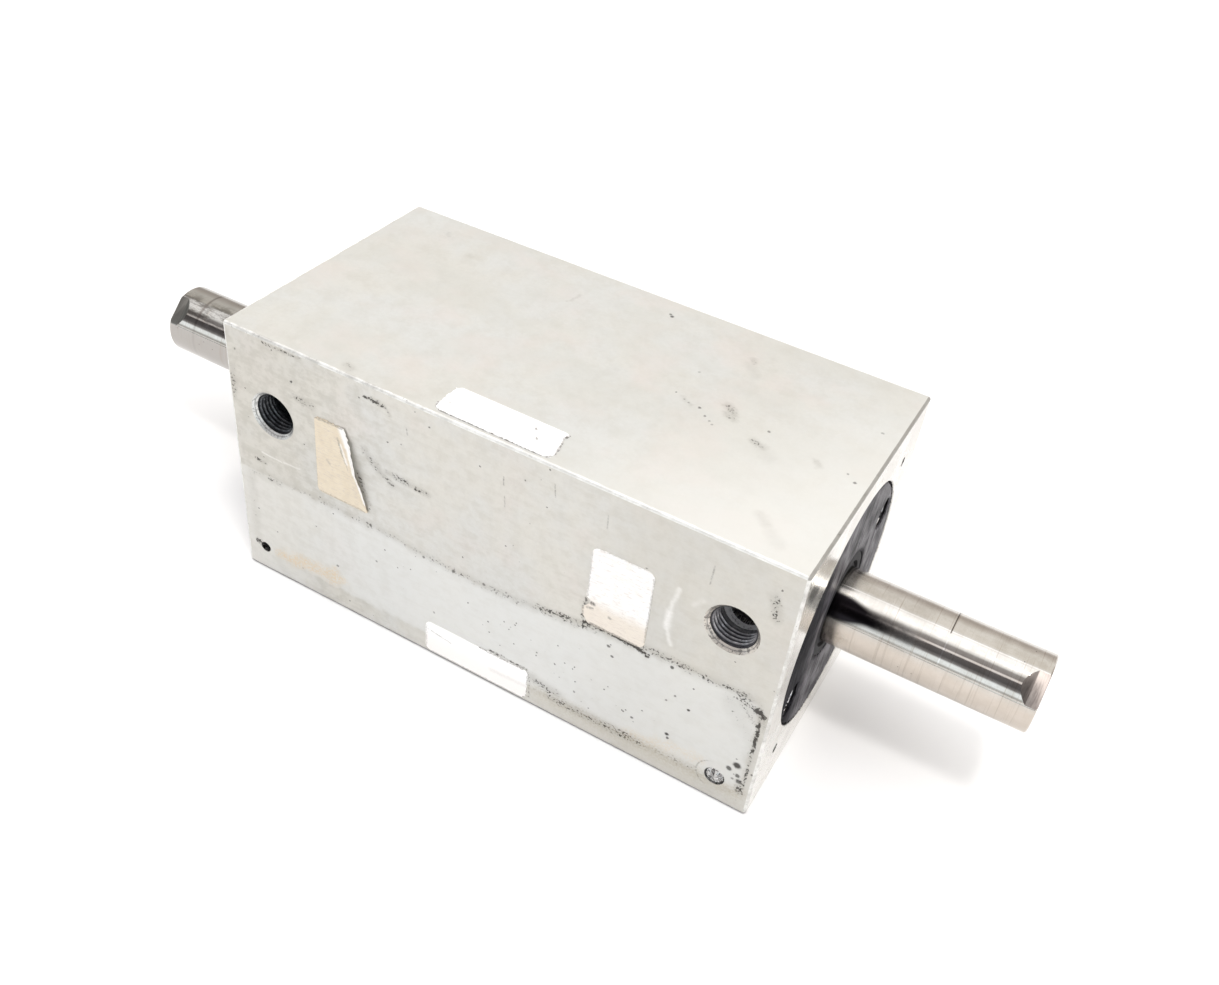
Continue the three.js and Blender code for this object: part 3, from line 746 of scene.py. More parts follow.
def top_face():
    nodes, point = material("top aluminium")
    x, y, _ = nodes.split(point)
    flat = nodes.join(x, y)
    tone, cloud, grain = surface_tone(nodes, point)
    fine = nodes.noise(flat, 1.9, detail=4.0, roughness=0.62)
    coarse = nodes.noise(flat, 0.22, detail=6.0, roughness=0.68)
    tone = tone.mix(0.3, TOP_COOL)
    tone = tone.mix(coarse.fade(0.4, 0.7, 0.0, 0.22), OLD_FILM)
    blush = nodes.noise(nodes.vector("ADD", point, (90, 40, 0)), 0.07, detail=3.0)
    tone = tone.mix(blush.fade(0.5, 0.68, 0.0, 0.32), PINK_FILM)
    haze = nodes.noise(nodes.stretched(flat, (0.03, 0.08, 1.0)), 1.0, detail=4.0, roughness=0.6)
    tone = tone.mix(haze.fade(0.42, 0.62, 0.0, 0.35), TOP_HAZE)
    # Painted light: the top lightens towards its front right corner, on the lamp's side.
    corner = (x - y * 0.8).fade(20, 75, 0.0, 0.6)
    tone = tone.mix(corner, TOP_PAINTED_LIGHT)
    smudges = marks(nodes, wobbled(nodes, flat, 1.8, 0.7), TOP_SMUDGES, 0.95)
    tone = tone.mix(smudges * 0.4, SMUDGE)
    dirt = speckled(smudges * 0.8, fine, coarse)
    dirt = nodes.most(dirt, spots(nodes, wobbled(nodes, flat, 0.5, 1.7), TOP_SPOTS))
    dirt = nodes.most(dirt, pits(nodes, flat, 0.13, 0.22, 0.3) * 0.4)
    tone = tone.mix(dirt * 0.8, GRIME)
    rough = nodes.most(cloud.fade(0.3, 0.7, 0.36, 0.5), dirt * 0.8)
    return nodes.finish(tone, rough, grain, 0.2, 0.00004, Metallic=0.55)


def rubbed_edge():
    """The rounded edges are rubbed smooth, with small nicks, and darker along the right end; a painted
    highlight runs along the right part, and painted shade along the bottom front and the back.
    """
    nodes, point = material("rubbed edge")
    x, y, z = nodes.split(point)
    rub = nodes.noise(point, 0.3, detail=5.0, roughness=0.7)
    nicks = nodes.noise(point, 1.6, detail=3.0).fade(0.64, 0.74, 0.0, 0.55)
    tone = nodes.mix(rub.fade(0.35, 0.65), EDGE_DULL, EDGE_RUBBED)
    end = x.fade(HALF_LENGTH - 0.62, HALF_LENGTH - 0.5)
    end = end * z.fade(TOP_Z - 0.7, TOP_Z - 0.5)
    tone = tone.mix(end * 0.8, EDGE_AT_END)
    # Painted highlight on the edges of the right part, over metal rubbed cleaner, with fewer nicks
    # there.
    clean = x.fade(-20, 0) * x.fade(HALF_LENGTH - 0.6, HALF_LENGTH - 1)
    tone = tone.mix(clean * 0.4, EDGE_CLEAN_AND_HIGHLIGHT)
    nicks = nicks * clean.fade(0.0, 1.0, 1.0, 0.25)
    tone = tone.mix(nicks, GRIME)
    under = z.fade(0.75, 0.5) * y.fade(-30, -31)
    shaded = nodes.most(under * 0.75, y.fade(31.2, 31.4, 0.0, 0.8))
    tone = tone.mix(shaded, EDGE_SHADED)
    return nodes.finish(tone, rub.fade(0.3, 0.7, 0.42, 0.55), rub, 0.1, 0.00003, Metallic=0.5)


def plain_face():
    nodes, point = material("worn aluminium")
    tone, cloud, grain = surface_tone(nodes, point)
    dots = nodes.most(
        pits(nodes, point, 0.15, 0.35, 0.3) * 0.5,
        pits(nodes, point, 0.4, 0.2, 0.15) * 0.5,
    )
    smear = nodes.noise(nodes.stretched(point, (0.05, 0.05, 0.5)), 1.0, detail=4.0)
    dirt = nodes.most(dots, smear.fade(0.66, 0.8, 0.0, 0.25))
    tone = tone.mix(dirt, GRIME)
    rough = nodes.most(cloud.fade(0.3, 0.7, 0.36, 0.5), dirt * 0.8)
    return nodes.finish(tone, rough, grain * 0.4, 0.25, 0.00008, Metallic=0.55)


def machined_end():
    """The end faces are milled bright, with fine straight tool marks and a few stains; painted light
    lightens them low down and painted shade darkens them high up.
    """
    nodes, point = material("machined aluminium")
    cuts = nodes.noise(nodes.stretched(point, (1.0, 6.0, 0.12)), 1.0, detail=3.0)
    cloud = nodes.noise(point, 0.12, detail=4.0)
    z = nodes.split(point)[2]
    tone = nodes.mix(cuts.fade(0.3, 0.7), MILLED_DARK, MILLED_LIGHT)
    # Painted light low down on the end faces, and painted shade high up.
    tone = tone.mix(z.fade(34, 10, 0.0, 0.1), END_PAINTED_LIGHT_LOW)
    tone = tone.mix(z.fade(46, 60, 0.0, 0.6), END_PAINTED_SHADE_HIGH)
    stain = nodes.noise(point, 0.5, detail=4.0, roughness=0.7).fade(0.62, 0.76, 0.0, 0.5)
    dots = pits(nodes, point, 0.22, 0.4, 0.3) * 0.7
    tone = tone.mix(stain, MILLED_STAIN)
    tone = tone.mix(dots, GRIME)
    rough = cloud.fade(0.3, 0.7, 0.15, 0.32) + stain * 0.4
    return nodes.finish(tone, rough, cuts, 0.12, 0.00004, Metallic=0.75)


def hole_wall(name, clean, dirty, share):
    """The wall of a tapped hole, with old oil and dirt in its threads."""
    nodes, point = material(name)
    soot = nodes.noise(point, 0.9, detail=5.0, roughness=0.7)
    crumbs = nodes.noise(point, 3.0, detail=3.0).fade(0.6, 0.7, 0.0, 0.8)
    tone = nodes.mix(soot.fade(0.62 - share, 0.72 - share), clean, dirty)
    tone = tone.mix(crumbs, dirty)
    rough = soot.fade(0.3, 0.7, 0.25, 0.55)
    return nodes.finish(tone, rough, crumbs, 0.3, 0.00008, Metallic=0.85)


def port_bore():
    """The plain bore behind the right port's thread: dull, and pale as painted light."""
    nodes, point = material("port bore")
    soot = nodes.noise(point, 0.8, detail=5.0, roughness=0.7)
    # Painted light: this bore is made paler than the other bores and the body.
    tone = nodes.mix(soot.fade(0.5, 0.7, 0.0, 0.8), PORT_BORE_PAINTED_LIGHT, PORT_SOOT)
    return nodes.finish(tone, soot.fade(0.3, 0.7, 0.4, 0.6), soot, 0.2, 0.00005, Metallic=0.2)


def port_wall(name, x, crest, root, chamfer, soot_share, pit_share):
    """A tapped port: a chamfer with pits, worn thread crests and dark roots."""
    nodes, point = material(name)
    across, _, up = nodes.split(point)
    from_axis = nodes.vector("DISTANCE", nodes.join(across, up), (x, AXIS_Z + PORT_ABOVE_AXIS, 0))
    thread_top = PORT_WALL + PORT_TOOTH
    soot = nodes.noise(point, 1.2, detail=5.0, roughness=0.7)
    tone = nodes.mix(from_axis.fade(PORT_WALL + 0.05, thread_top - 0.1), crest, root)
    tone = tone.mix(soot.fade(0.4, 0.62, 0.0, soot_share), root)
    pitted = nodes.mix(soot.fade(0.5, 0.6, 0.0, pit_share), chamfer, CHAMFER_PIT)
    from_middle = abs(from_axis - PORT_RING)
    pitted = pitted.mix(from_middle.fade(0.12, 0.04, 0.0, 0.55), CHAMFER_RING)
    tone = tone.mix(from_axis.fade(thread_top + 0.01, thread_top + 0.06), pitted)
    return nodes.finish(tone, soot.fade(0.3, 0.7, 0.24, 0.5), soot, 0.2, 0.00005, Metallic=0.8)


def honed_bore():
    nodes, point = material("honed bore")
    x, y, z = nodes.split(point)
    turn = nodes.math("ARCTAN2", y, z - AXIS_Z)
    along = nodes.join(x * 1.6, turn * 14.0)
    hone = nodes.noise(along, 2.0, detail=4.0)
    tone = nodes.mix(hone, HONED_DARK, HONED_LIGHT)
    return nodes.finish(tone, hone.fade(0.3, 0.7, 0.2, 0.34), hone, 0.15, 0.00004, Metallic=0.9)


# ---- Body ---------------------------------------------------------------------------------------


def bore_outline():
    over = HALF_LENGTH + 2 * CUTTER_OVER
    seat = HALF_LENGTH - SEAT_DEPTH
    half = [
        (seat, BORE_RADIUS),
        (seat, SEAT_RADIUS),
        (HALF_LENGTH - SEAT_LIP, SEAT_RADIUS),
        (HALF_LENGTH, SEAT_RADIUS + SEAT_LIP),
        (over, SEAT_RADIUS + SEAT_LIP),
        (over, 0),
    ]
    return mirrored(half) + half


def rounded_bar(name):
    made = bmesh.new()
    bmesh.ops.create_cube(made, size=1)
    size = (BODY_HIGH - BODY_LOW) * MM
    bmesh.ops.scale(made, vec=size, verts=made.verts)
    bmesh.ops.translate(made, vec=(BODY_HIGH + BODY_LOW) / 2 * MM, verts=made.verts)
    bmesh.ops.bevel(
        made, geom=made.edges[:], offset=EDGE_RADIUS * MM, segments=4, profile=0.5, affect="EDGES"
    )
    mesh = bpy.data.meshes.new(name)
    made.to_mesh(mesh)
    made.free()
    return added(name, mesh)


def body_tools():
    tools = [piece("bore", *turned_mesh(bore_outline(), FINE))]
    port_z = AXIS_Z + PORT_ABOVE_AXIS
    for side in SIDES.values():
        place = facing_front(side * PORT_X, port_z)
        wall = thread(PORT_WALL, PORT_TOOTH, PORT_PITCH, PORT_THREAD_LENGTH)
        tools.append(hole_tool(wall, PORT_DEPTH, PORT_MOUTH, place, segments=64, rows=150))
        for corner in (-1, 1):
            y = side * corner * PIN_OFFSET
            pin = facing_end(side, HALF_LENGTH, y, AXIS_Z + corner * PIN_OFFSET)
            wall = plain(PIN_HOLE_RADIUS)
            tools.append(hole_tool(wall, PIN_HOLE_DEPTH, PIN_HOLE_MOUTH, pin, segments=24, rows=2))
    for x, radius, mouth in SMALL_HOLES:
        small = facing_front(x, SMALL_HOLE_Z)
        tools.append(hole_tool(plain(radius), SMALL_HOLE_DEPTH, mouth, small, segments=32, rows=2))
    seat = facing_front(SCREW_X, SMALL_HOLE_Z)
    wall = plain(SCREW_SEAT_RADIUS)
    tools.append(hole_tool(wall, SCREW_SEAT_DEPTH, SCREW_SEAT_MOUTH, seat, segments=48, rows=2))
    return tools


def near_hole(centre, x, z, reach):
    return math.hypot(centre.x - x, centre.z - z) < reach


def body_part(centre, normal):
    """Which of the body's looks a face has, from its middle in millimetres and its normal."""
    from_axis = math.hypot(centre.y, centre.z - AXIS_Z)
    port_z = AXIS_Z + PORT_ABOVE_AXIS
    port_reach = PORT_MOUTH + 0.1
    inside_front = centre.y > FRONT_Y + SKIN
    if from_axis < SEAT_RADIUS + 0.5 and abs(centre.x) < HALF_LENGTH - 0.3:
        return "bore"
    if inside_front and centre.y < 0 and near_hole(centre, PORT_X, port_z, port_reach):
        return "port bore" if centre.y > FRONT_Y + PORT_THREAD_LENGTH + 0.4 else "right port"
    if inside_front and centre.y < 0 and near_hole(centre, -PORT_X, port_z, port_reach):
        return "left port"
    if inside_front and any(near_hole(centre, x, SMALL_HOLE_Z, 2.4) for x, _, _ in SMALL_HOLES):
        return "small hole"
    pin_distance = math.hypot(abs(centre.y) - PIN_OFFSET, abs(centre.z - AXIS_Z) - PIN_OFFSET)
    if pin_distance < PIN_HOLE_RADIUS + 0.2 and abs(centre.x) < HALF_LENGTH - SKIN:
        return "small hole"
    if max(abs(normal.x), abs(normal.y), abs(normal.z)) < SQUARE_ON:
        return "edge"
    if abs(normal.x) > SQUARE_ON:
        return "end"
    if normal.y < -SQUARE_ON:
        return "front"
    return "top" if normal.z > SQUARE_ON else "plain"


def body():
    bar = rounded_bar("worn_body")
    carve(bar, body_tools())
    looks = {
        "front": front_face(),
        "top": top_face(),
        "plain": plain_face(),
        "end": machined_end(),
        "left port": port_wall("left port", -PORT_X, *LEFT_PORT_TONES, 0.8, 0.5),
        "bore": honed_bore(),
        "right port": port_wall("right port", PORT_X, *RIGHT_PORT_TONES, 0.4, 0.75),
        "edge": rubbed_edge(),
        "small hole": hole_wall("sooty hole", HOLE_CLEAN, HOLE_SOOT, 0.16),
        "port bore": port_bore(),
    }
    order = list(looks)
    paint(bar, looks.values(), lambda centre, normal: order.index(body_part(centre, normal)))
    show(bar, "housing", "body_aluminium", "body_block")


# ---- End caps and what they hold ----------------------------------------------------------------

# The cap's collar and O-ring groove by their depth below its face.
COLLAR_LENGTH = 6
CAP_GROOVE = (3.5, 5.4)
# The rod's wiper, seal and bushing seats by their depth below the body's end.
WIPER_SEAT = 3.6
SEAL_SEAT = (4.6, 8.6)
BUSHING_SEAT = 9.5
NOSE_RADIUS = 20
CAP_GROOVE_RADIUS = 24
GLAND_RADIUS = 11.2
ROD_HOLE_RADIUS = 8.5
BUSHING_SEAT_RADIUS = 10.2
# The radius of what fits close round the rod.
ROUND_ROD = ROD_RADIUS + 0.1
# Room left round what sits in a groove, and the O-ring's two radii.
GAP = 0.3
CAP_O_RING = (25, 0.65)
ANODISED_BLACK = (0.006, 0.005, 0.008)
ANODISED_WORN = (0.13, 0.123, 0.138)
ANODISED_SCRATCH = (0.34, 0.34, 0.36)
CAP_DUST = (0.42, 0.40, 0.40)
# Painted shade on the caps: round the rod and towards the top, and on the front side.
CAP_PAINTED_SHADE_BY_ROD = (0.008, 0.007, 0.009)
CAP_PAINTED_SHADE_FRONT = (0.006, 0.006, 0.008)
BARE_NOSE = (0.42, 0.42, 0.43)
CAP_HOLE_BLACK = (0.006, 0.006, 0.007)
BARE_CREST = (0.78, 0.77, 0.78)
RUBBER_DUST = (0.30, 0.28, 0.25)


def cap_outline():
    """Outline of the right cap from the CAD's sizes: collar, O-ring groove, nose and rod glands."""
    groove_high, groove_low = (CAP_FACE - depth for depth in CAP_GROOVE)
    seal_high, seal_low = (HALF_LENGTH - depth for depth in SEAL_SEAT)
    collar = CAP_FACE - COLLAR_LENGTH
    wiper = HALF_LENGTH - WIPER_SEAT
    bushing = HALF_LENGTH - BUSHING_SEAT
    return [
        (CAP_INNER, NOSE_RADIUS - CHAMFER),
        (CAP_INNER + CHAMFER, NOSE_RADIUS),
        (collar, NOSE_RADIUS),
        (collar, CAP_RADIUS),
        (groove_low, CAP_RADIUS),
        (groove_low, CAP_GROOVE_RADIUS),
        (groove_high, CAP_GROOVE_RADIUS),
        (groove_high, CAP_RADIUS),
        (CAP_FACE - CHAMFER, CAP_RADIUS),
        (CAP_FACE, CAP_RADIUS - CHAMFER),
        (CAP_FACE, GLAND_RADIUS),
        (wiper, GLAND_RADIUS),
        (wiper, ROD_HOLE_RADIUS),
        (seal_high, ROD_HOLE_RADIUS),
        (seal_high, GLAND_RADIUS),
        (seal_low, GLAND_RADIUS),
        (seal_low, ROD_HOLE_RADIUS),
        (bushing, ROD_HOLE_RADIUS),
        (bushing, BUSHING_SEAT_RADIUS),
        (CAP_INNER, BUSHING_SEAT_RADIUS),
    ]


def black_anodised():
    """Black anodising brushed and worn to grey over a bare inner nose, with painted shade blackest
    round the rod, towards the top and on the front side.
    """
    nodes, point = material("black anodised")
    x, y, z = nodes.split(point)
    up = z - AXIS_Z
    radius = nodes.vector("LENGTH", nodes.join(y, up))
    brushed = nodes.noise(nodes.stretched(point, (1.0, 1.8, 0.12)), 1.0, detail=5.0, roughness=0.75)
    cloud = nodes.noise(point, 0.22, detail=4.0)
    wear = cloud * 0.4 + brushed * 0.6
    tone = nodes.mix(wear.fade(0.4, 0.6), ANODISED_BLACK, ANODISED_WORN)
    scratch = nodes.noise(nodes.stretched(point, (1.0, 0.5, 6.0)), 1.0, detail=3.0)
    tone = tone.mix(scratch.fade(0.64, 0.72, 0.0, 0.3), ANODISED_SCRATCH)
    dust = pits(nodes, point, 0.9, 0.16, 0.2) * 0.5
    tone = tone.mix(dust, CAP_DUST)
    # Painted shade: blackest round the rod and darker towards the top, then darker again on the front
    # side.
    painted_shade_by_rod = radius.fade(14, 10.5) * up.fade(-5, 2, 0.0, 0.85)
    tone = tone.mix(nodes.most(painted_shade_by_rod, up.fade(8, 20, 0.0, 0.25)), CAP_PAINTED_SHADE_BY_ROD)
    tone = tone.mix(y.fade(-10, -18, 0.0, 0.8), CAP_PAINTED_SHADE_FRONT)
    from_middle = abs(x)
    bare = from_middle.fade(CAP_FACE - COLLAR_LENGTH + 0.1, CAP_FACE - COLLAR_LENGTH - 0.2)
    tone = tone.mix(bare, BARE_NOSE)
    matt = nodes.most(radius.fade(12.5, 11, 0.0, 0.45), y.fade(-11, -18, 0.0, 0.5))
    rough = wear.fade(0.4, 0.62, 0.6, 0.42) + matt
    return nodes.finish(tone, rough, wear, 0.5, 0.0001, Specular_IOR_Level=0.17)


def cap_hole_wall():
    """The tapped holes in the caps: black, with glints where the crests have lost their colour."""
    nodes, point = material("cap hole")
    _, y, z = nodes.split(point)
    across = abs(y)
    up = abs(z - AXIS_Z)
    hole_across = CAP_HOLE_CIRCLE * math.cos(CAP_HOLE_ANGLE)
    hole_up = CAP_HOLE_CIRCLE * math.sin(CAP_HOLE_ANGLE)
    from_axis = nodes.vector("DISTANCE", nodes.join(across, up), (hole_across, hole_up, 0))
    crest = from_axis.fade(CAP_HOLE_RADIUS + 0.16, CAP_HOLE_RADIUS + 0.04)
    worn = nodes.noise(point, 1.1, detail=3.0, roughness=0.6)
    bare = crest * worn.fade(0.4, 0.5)
    tone = nodes.mix(bare, CAP_HOLE_BLACK, BARE_CREST)
    return nodes.finish(tone, worn.fade(0.3, 0.7, 0.3, 0.15), worn, 0.1, 0.00004, Metallic=0.9)


def rubber(name, color, roughness, bloom):
    nodes, point = material(name)
    dust = nodes.noise(point, 1.2, detail=5.0, roughness=0.7)
    tone = nodes.mix(dust.fade(0.5, 0.75, 0.0, bloom), color, RUBBER_DUST)
    rough = dust.fade(0.3, 0.7, roughness - 0.08, roughness + 0.08)
    return nodes.finish(tone, rough, dust, 0.2, 0.00005, Specular_IOR_Level=0.12)


def turned_metal(name, dark, light, roughness):
    nodes, point = material(name)
    x, y, z = nodes.split(point)
    up = z - AXIS_Z
    radius = nodes.vector("LENGTH", nodes.join(y, up))
    rings = nodes.noise(nodes.join(radius * 6.0, x * 6.0), 1.0, detail=3.0)
    cloud = nodes.noise(point, 0.3, detail=3.0)
    tone = nodes.mix(rings * 0.5 + cloud * 0.5, dark, light)
    rough = cloud.fade(0.3, 0.7, roughness - 0.06, roughness + 0.08)
    return nodes.finish(tone, rough, rings, 0.2, 0.00005, Metallic=1.0)


def wiper_outline():
    end = HALF_LENGTH
    return [
        (end - 3.3, ROD_HOLE_RADIUS),
        (end - 3.3, GLAND_RADIUS - 0.1),
        (end - 0.3, GLAND_RADIUS - 0.1),
        (end - 0.3, 9.3),
        (end - 1.1, 9.1),
        (end - 0.35, ROUND_ROD),
        (end - 1.2, ROUND_ROD + 0.05),
    ]


def u_cup_outline(from_x, to_x, inner, outer):
    """A U-cup whose back is at from_x and whose lips open towards to_x."""
    length = to_x - from_x
    lip = (outer - inner) / 4
    return [
        (from_x, inner),
        (from_x, outer),
        (to_x, outer),
        (to_x, outer - lip),
        (from_x + 0.45 * length, (inner + outer) / 2),
        (to_x, inner + lip),
        (to_x, inner),
    ]


def end_cap(side_name, side, looks):
    cap = turned("worn_cap_" + side_name, at_side(filleted(cap_outline(), 0.12), side))
    wall = thread(CAP_HOLE_RADIUS, CAP_HOLE_TOOTH, CAP_HOLE_PITCH)
    tools = []
    holes = []
    for turn in (0, math.pi):
        angle = CAP_HOLE_ANGLE + turn
        y = side * CAP_HOLE_CIRCLE * math.cos(angle)
        z = AXIS_Z + CAP_HOLE_CIRCLE * math.sin(angle)
        place = facing_end(side, CAP_FACE, y, z)
        tools.append(hole_tool(wall, CAP_HOLE_DEPTH, CAP_HOLE_MOUTH, place, segments=48, rows=40))
        holes.append((y, z))

    def cap_part(centre, _):
        nearest = min(math.hypot(centre.y - y, centre.z - z) for y, z in holes)
        return 1 if nearest < CAP_HOLE_MOUTH + 0.05 and abs(centre.x) < CAP_FACE - 0.3 else 0

    carve(cap, tools)
    paint(cap, [looks["cap"], looks["cap_hole"]], cap_part)
    show(cap, "housing", "black_anodised", side_name + "_end_cap")


def end_pieces(side_name, side, looks):
    end_cap(side_name, side, looks)
    end = HALF_LENGTH
    seal_high, seal_low = SEAL_SEAT
    seal = u_cup_outline(end - seal_high - GAP, end - seal_low + GAP, ROUND_ROD, GLAND_RADIUS - GAP)
    bushing_radius = BUSHING_SEAT_RADIUS - GAP
    bushing = ring_outline(CAP_INNER + GAP, end - BUSHING_SEAT - GAP, ROUND_ROD, bushing_radius)
    pieces = [
        ("rod_wiper", filleted(wiper_outline(), 0.12), "seal_rubber", "wiper"),
        ("rod_seal", seal, "seal_urethane", "urethane"),
        ("rod_bushing", filleted(bushing, 0.2), "bushing_bronze", "bronze"),
    ]
    for name, outline, slot, look in pieces:
        made = turned("fine_" + side_name + "_" + name, at_side(outline, side))
        show(made, "housing", slot, side_name + "_" + name, looks[look])
    groove_middle = CAP_FACE - sum(CAP_GROOVE) / 2
    o_ring = torus("fine_" + side_name + "_cap_o_ring", side * groove_middle, *CAP_O_RING)
    show(o_ring, "housing", "seal_rubber", side_name + "_cap_o_ring", looks["rubber"])


# ---- Piston -------------------------------------------------------------------------------------

PISTON_HALF = 11.5
PISTON_RADIUS = 25.15
PISTON_BORE = ROUND_ROD
# Along the piston from its middle: the tape's groove, the seals', the rings' recess, the O-ring's.
TAPE_GROOVE_HALF = 3.3
PISTON_SEAL_GROOVE = (6, 9.9)
RING_RECESS = 8.6
O_RING_GROOVE_HALF = 1.1
# The radii of their floors, and the pocket for each bumper.
TAPE_GROOVE_RADIUS = 23.3
PISTON_SEAL_SEAT = 20.9
RING_RECESS_RADIUS = 11.5
O_RING_SEAT = 9.9
BUMPER_POCKET = (13.7, 18.3)
BUMPER_POCKET_DEPTH = 2
BUMPER_FACE = 12.5
# The tape's and the seals' radius in the bore, and the O-ring's two radii.
SQUEEZED_RADIUS = 25.3
PISTON_O_RING = (8.96, 0.7)


def piston_half_outline():
    seal_low, seal_high = PISTON_SEAL_GROOVE
    pocket = PISTON_HALF - BUMPER_POCKET_DEPTH
    pocket_inner, pocket_outer = BUMPER_POCKET
    outside = [
        (TAPE_GROOVE_HALF, TAPE_GROOVE_RADIUS),
        (TAPE_GROOVE_HALF, PISTON_RADIUS),
        (seal_low, PISTON_RADIUS),
        (seal_low, PISTON_SEAL_SEAT),
        (seal_high, PISTON_SEAL_SEAT),
        (seal_high, PISTON_RADIUS),
        (PISTON_HALF - CHAMFER, PISTON_RADIUS),
        (PISTON_HALF, PISTON_RADIUS - CHAMFER),
    ]
    inside = [
        (PISTON_HALF, pocket_outer),
        (pocket, pocket_outer),
        (pocket, pocket_inner),
        (PISTON_HALF, pocket_inner),
        (PISTON_HALF, RING_RECESS_RADIUS),
        (RING_RECESS, RING_RECESS_RADIUS),
        (RING_RECESS, PISTON_BORE),
        (O_RING_GROOVE_HALF, PISTON_BORE),
        (O_RING_GROOVE_HALF, O_RING_SEAT),
    ]
    return outside, inside


def piston_pieces(looks):
    outside, inside = piston_half_outline()
    whole = mirrored(outside) + outside + inside + mirrored(inside)
    piston = turned("fine_piston", shifted(whole, ROD_MIDDLE), fillet=0.1)
    show(piston, "piston", "piston_aluminium", "piston", looks["piston"])
    half = TAPE_GROOVE_HALF - GAP
    band = ring_outline(-half, half, TAPE_GROOVE_RADIUS + GAP, SQUEEZED_RADIUS)
    band = shifted(band, ROD_MIDDLE)
    tape = turned("fine_bearing_tape", band, fillet=0.15)
    show(tape, "piston", "bearing_tape", "piston_bearing_tape", looks["tape"])
    inner = torus("fine_piston_o_ring", ROD_MIDDLE, *PISTON_O_RING, MEDIUM)
    show(inner, "piston", "seal_rubber", "piston_o_ring", looks["rubber"])
    seal_low, seal_high = PISTON_SEAL_GROOVE
    pocket_inner, pocket_outer = BUMPER_POCKET
    pocket = PISTON_HALF - BUMPER_POCKET_DEPTH
    for side_name, side in SIDES.items():
        cup = u_cup_outline(seal_low + GAP, seal_high - GAP, PISTON_SEAL_SEAT + GAP, SQUEEZED_RADIUS)
        cup = at_side(cup, side)
        seal = turned("fine_piston_seal_" + side_name, shifted(cup, ROD_MIDDLE))
        show(seal, "piston", "seal_urethane", "piston_seal_" + side_name, looks["urethane"])
        pad = ring_outline(pocket + GAP, BUMPER_FACE, pocket_inner + GAP, pocket_outer - GAP)
        pad = at_side(pad, side)
        bumper = turned("fine_piston_bumper_" + side_name, shifted(pad, ROD_MIDDLE), fillet=0.4)
        show(bumper, "piston", "seal_rubber", "piston_bumper_" + side_name, looks["rubber"])


# ---- Rod ----------------------------------------------------------------------------------------

# Where the rod has a dark ring near each end.
RIGHT_RING_X = 83.8
LEFT_RING_X = -97.8
# The tapped hole in each tip, and the spring rings' grooves by their distance from the middle.
ROD_TAP_RADIUS = 4.2
ROD_TAP_TOOTH = 0.5
ROD_TAP_PITCH = 1.06
ROD_HOLE_DEPTH = 18.0
ROD_HOLE_MOUTH = 5.0
RING_GROOVE = (8.6, 10.5)
RING_GROOVE_RADIUS = 7.1
# The spring rings: place from the middle, thickness, radii, half the opening's angle, rounding.
RING_PLACE = 8.9
RING_THICKNESS = 1.3
RING_RADII = (7.4, 10.4)
RING_OPENING = math.radians(22)
RING_BEVEL = 0.12
RING_STEPS = 72
CHROME_DARK = (0.49, 0.465, 0.43)
CHROME_LIGHT = (0.57, 0.55, 0.52)
CHROME_FILM_AND_SHADE = (0.40, 0.38, 0.35)
ROD_PAINTED_REFLECTION = (0.61, 0.52, 0.435)
LEFT_PAINTED_REFLECTION = (0.37, 0.36, 0.35)
LEFT_CHROME = (0.27, 0.265, 0.25)
OIL_FILM = (0.36, 0.31, 0.26)
LEFT_STAIN = (0.09, 0.08, 0.07)
LEFT_RING_TONE = (0.12, 0.10, 0.09)
ROD_SOOT = (0.014, 0.012, 0.014)
RIGHT_RING_TONE = (0.05, 0.035, 0.025)
RING_PAINTED_HIGHLIGHT = (0.85, 0.85, 0.86)
ROD_SPECK = (0.08, 0.07, 0.06)
FLAT_DARK = (0.31, 0.27, 0.25)
FLAT_LIGHT = (0.44, 0.39, 0.36)
FLAT_RUN_OUT_SHADE = (0.07, 0.06, 0.055)
LEFT_FLAT = (0.11, 0.11, 0.10)


def left_marks(nodes, tone, x, turn, left):
    """A smeared stain and a dark ring on the left part of the rod."""
    stain_at = abs(turn + 0.5).fade(0.6, 0.15)
    along = nodes.noise(nodes.join(x * 0.22, turn * 5.0), 1.0, detail=5.0, roughness=0.7)
    stain = left * stain_at * along.fade(0.4, 0.62)
    tone = tone.mix(stain * 0.8, LEFT_STAIN)
    left_ring = abs(x - LEFT_RING_X).fade(0.5, 0.1)
    left_ring = left_ring * turn.fade(-1.35, -0.6, 0.12, 0.6)
    return tone.mix(left_ring, LEFT_RING_TONE)


def soot_patch(tone, x, turn, smear):
    """Soot along the front of the rod, just outside the right cap."""
    from_soot = abs(turn + 0.88)
    soot_at = (from_soot + x.fade(70, 64, 0.06, -0.1)).fade(0.32, 0.16)
    soot = (x + smear * -16.0).fade(74, 60)
    soot = soot * soot_at * (x + smear * 14.0).fade(44, 64)
    return tone.mix(soot, ROD_SOOT)


def right_ring(tone, x, turn, rings):
    """A dark ring near the right tip, with a painted highlight where it faces the front."""
    ring_place = rings * 0.5 + x
    off_ring = abs(ring_place - (RIGHT_RING_X + 0.25))
    dark_ring = off_ring.fade(0.22, 0.1)
    # Painted highlight on the ring where it faces the front.
    painted_ring_highlight = dark_ring * abs(turn + 0.9).fade(0.4, 0.2, 0.0, 0.3)
    dark_ring = dark_ring * turn.fade(-0.42, -0.34, 0.0, 0.85)
    tone = tone.mix(dark_ring, RIGHT_RING_TONE)
    return tone.mix(painted_ring_highlight, RING_PAINTED_HIGHLIGHT)


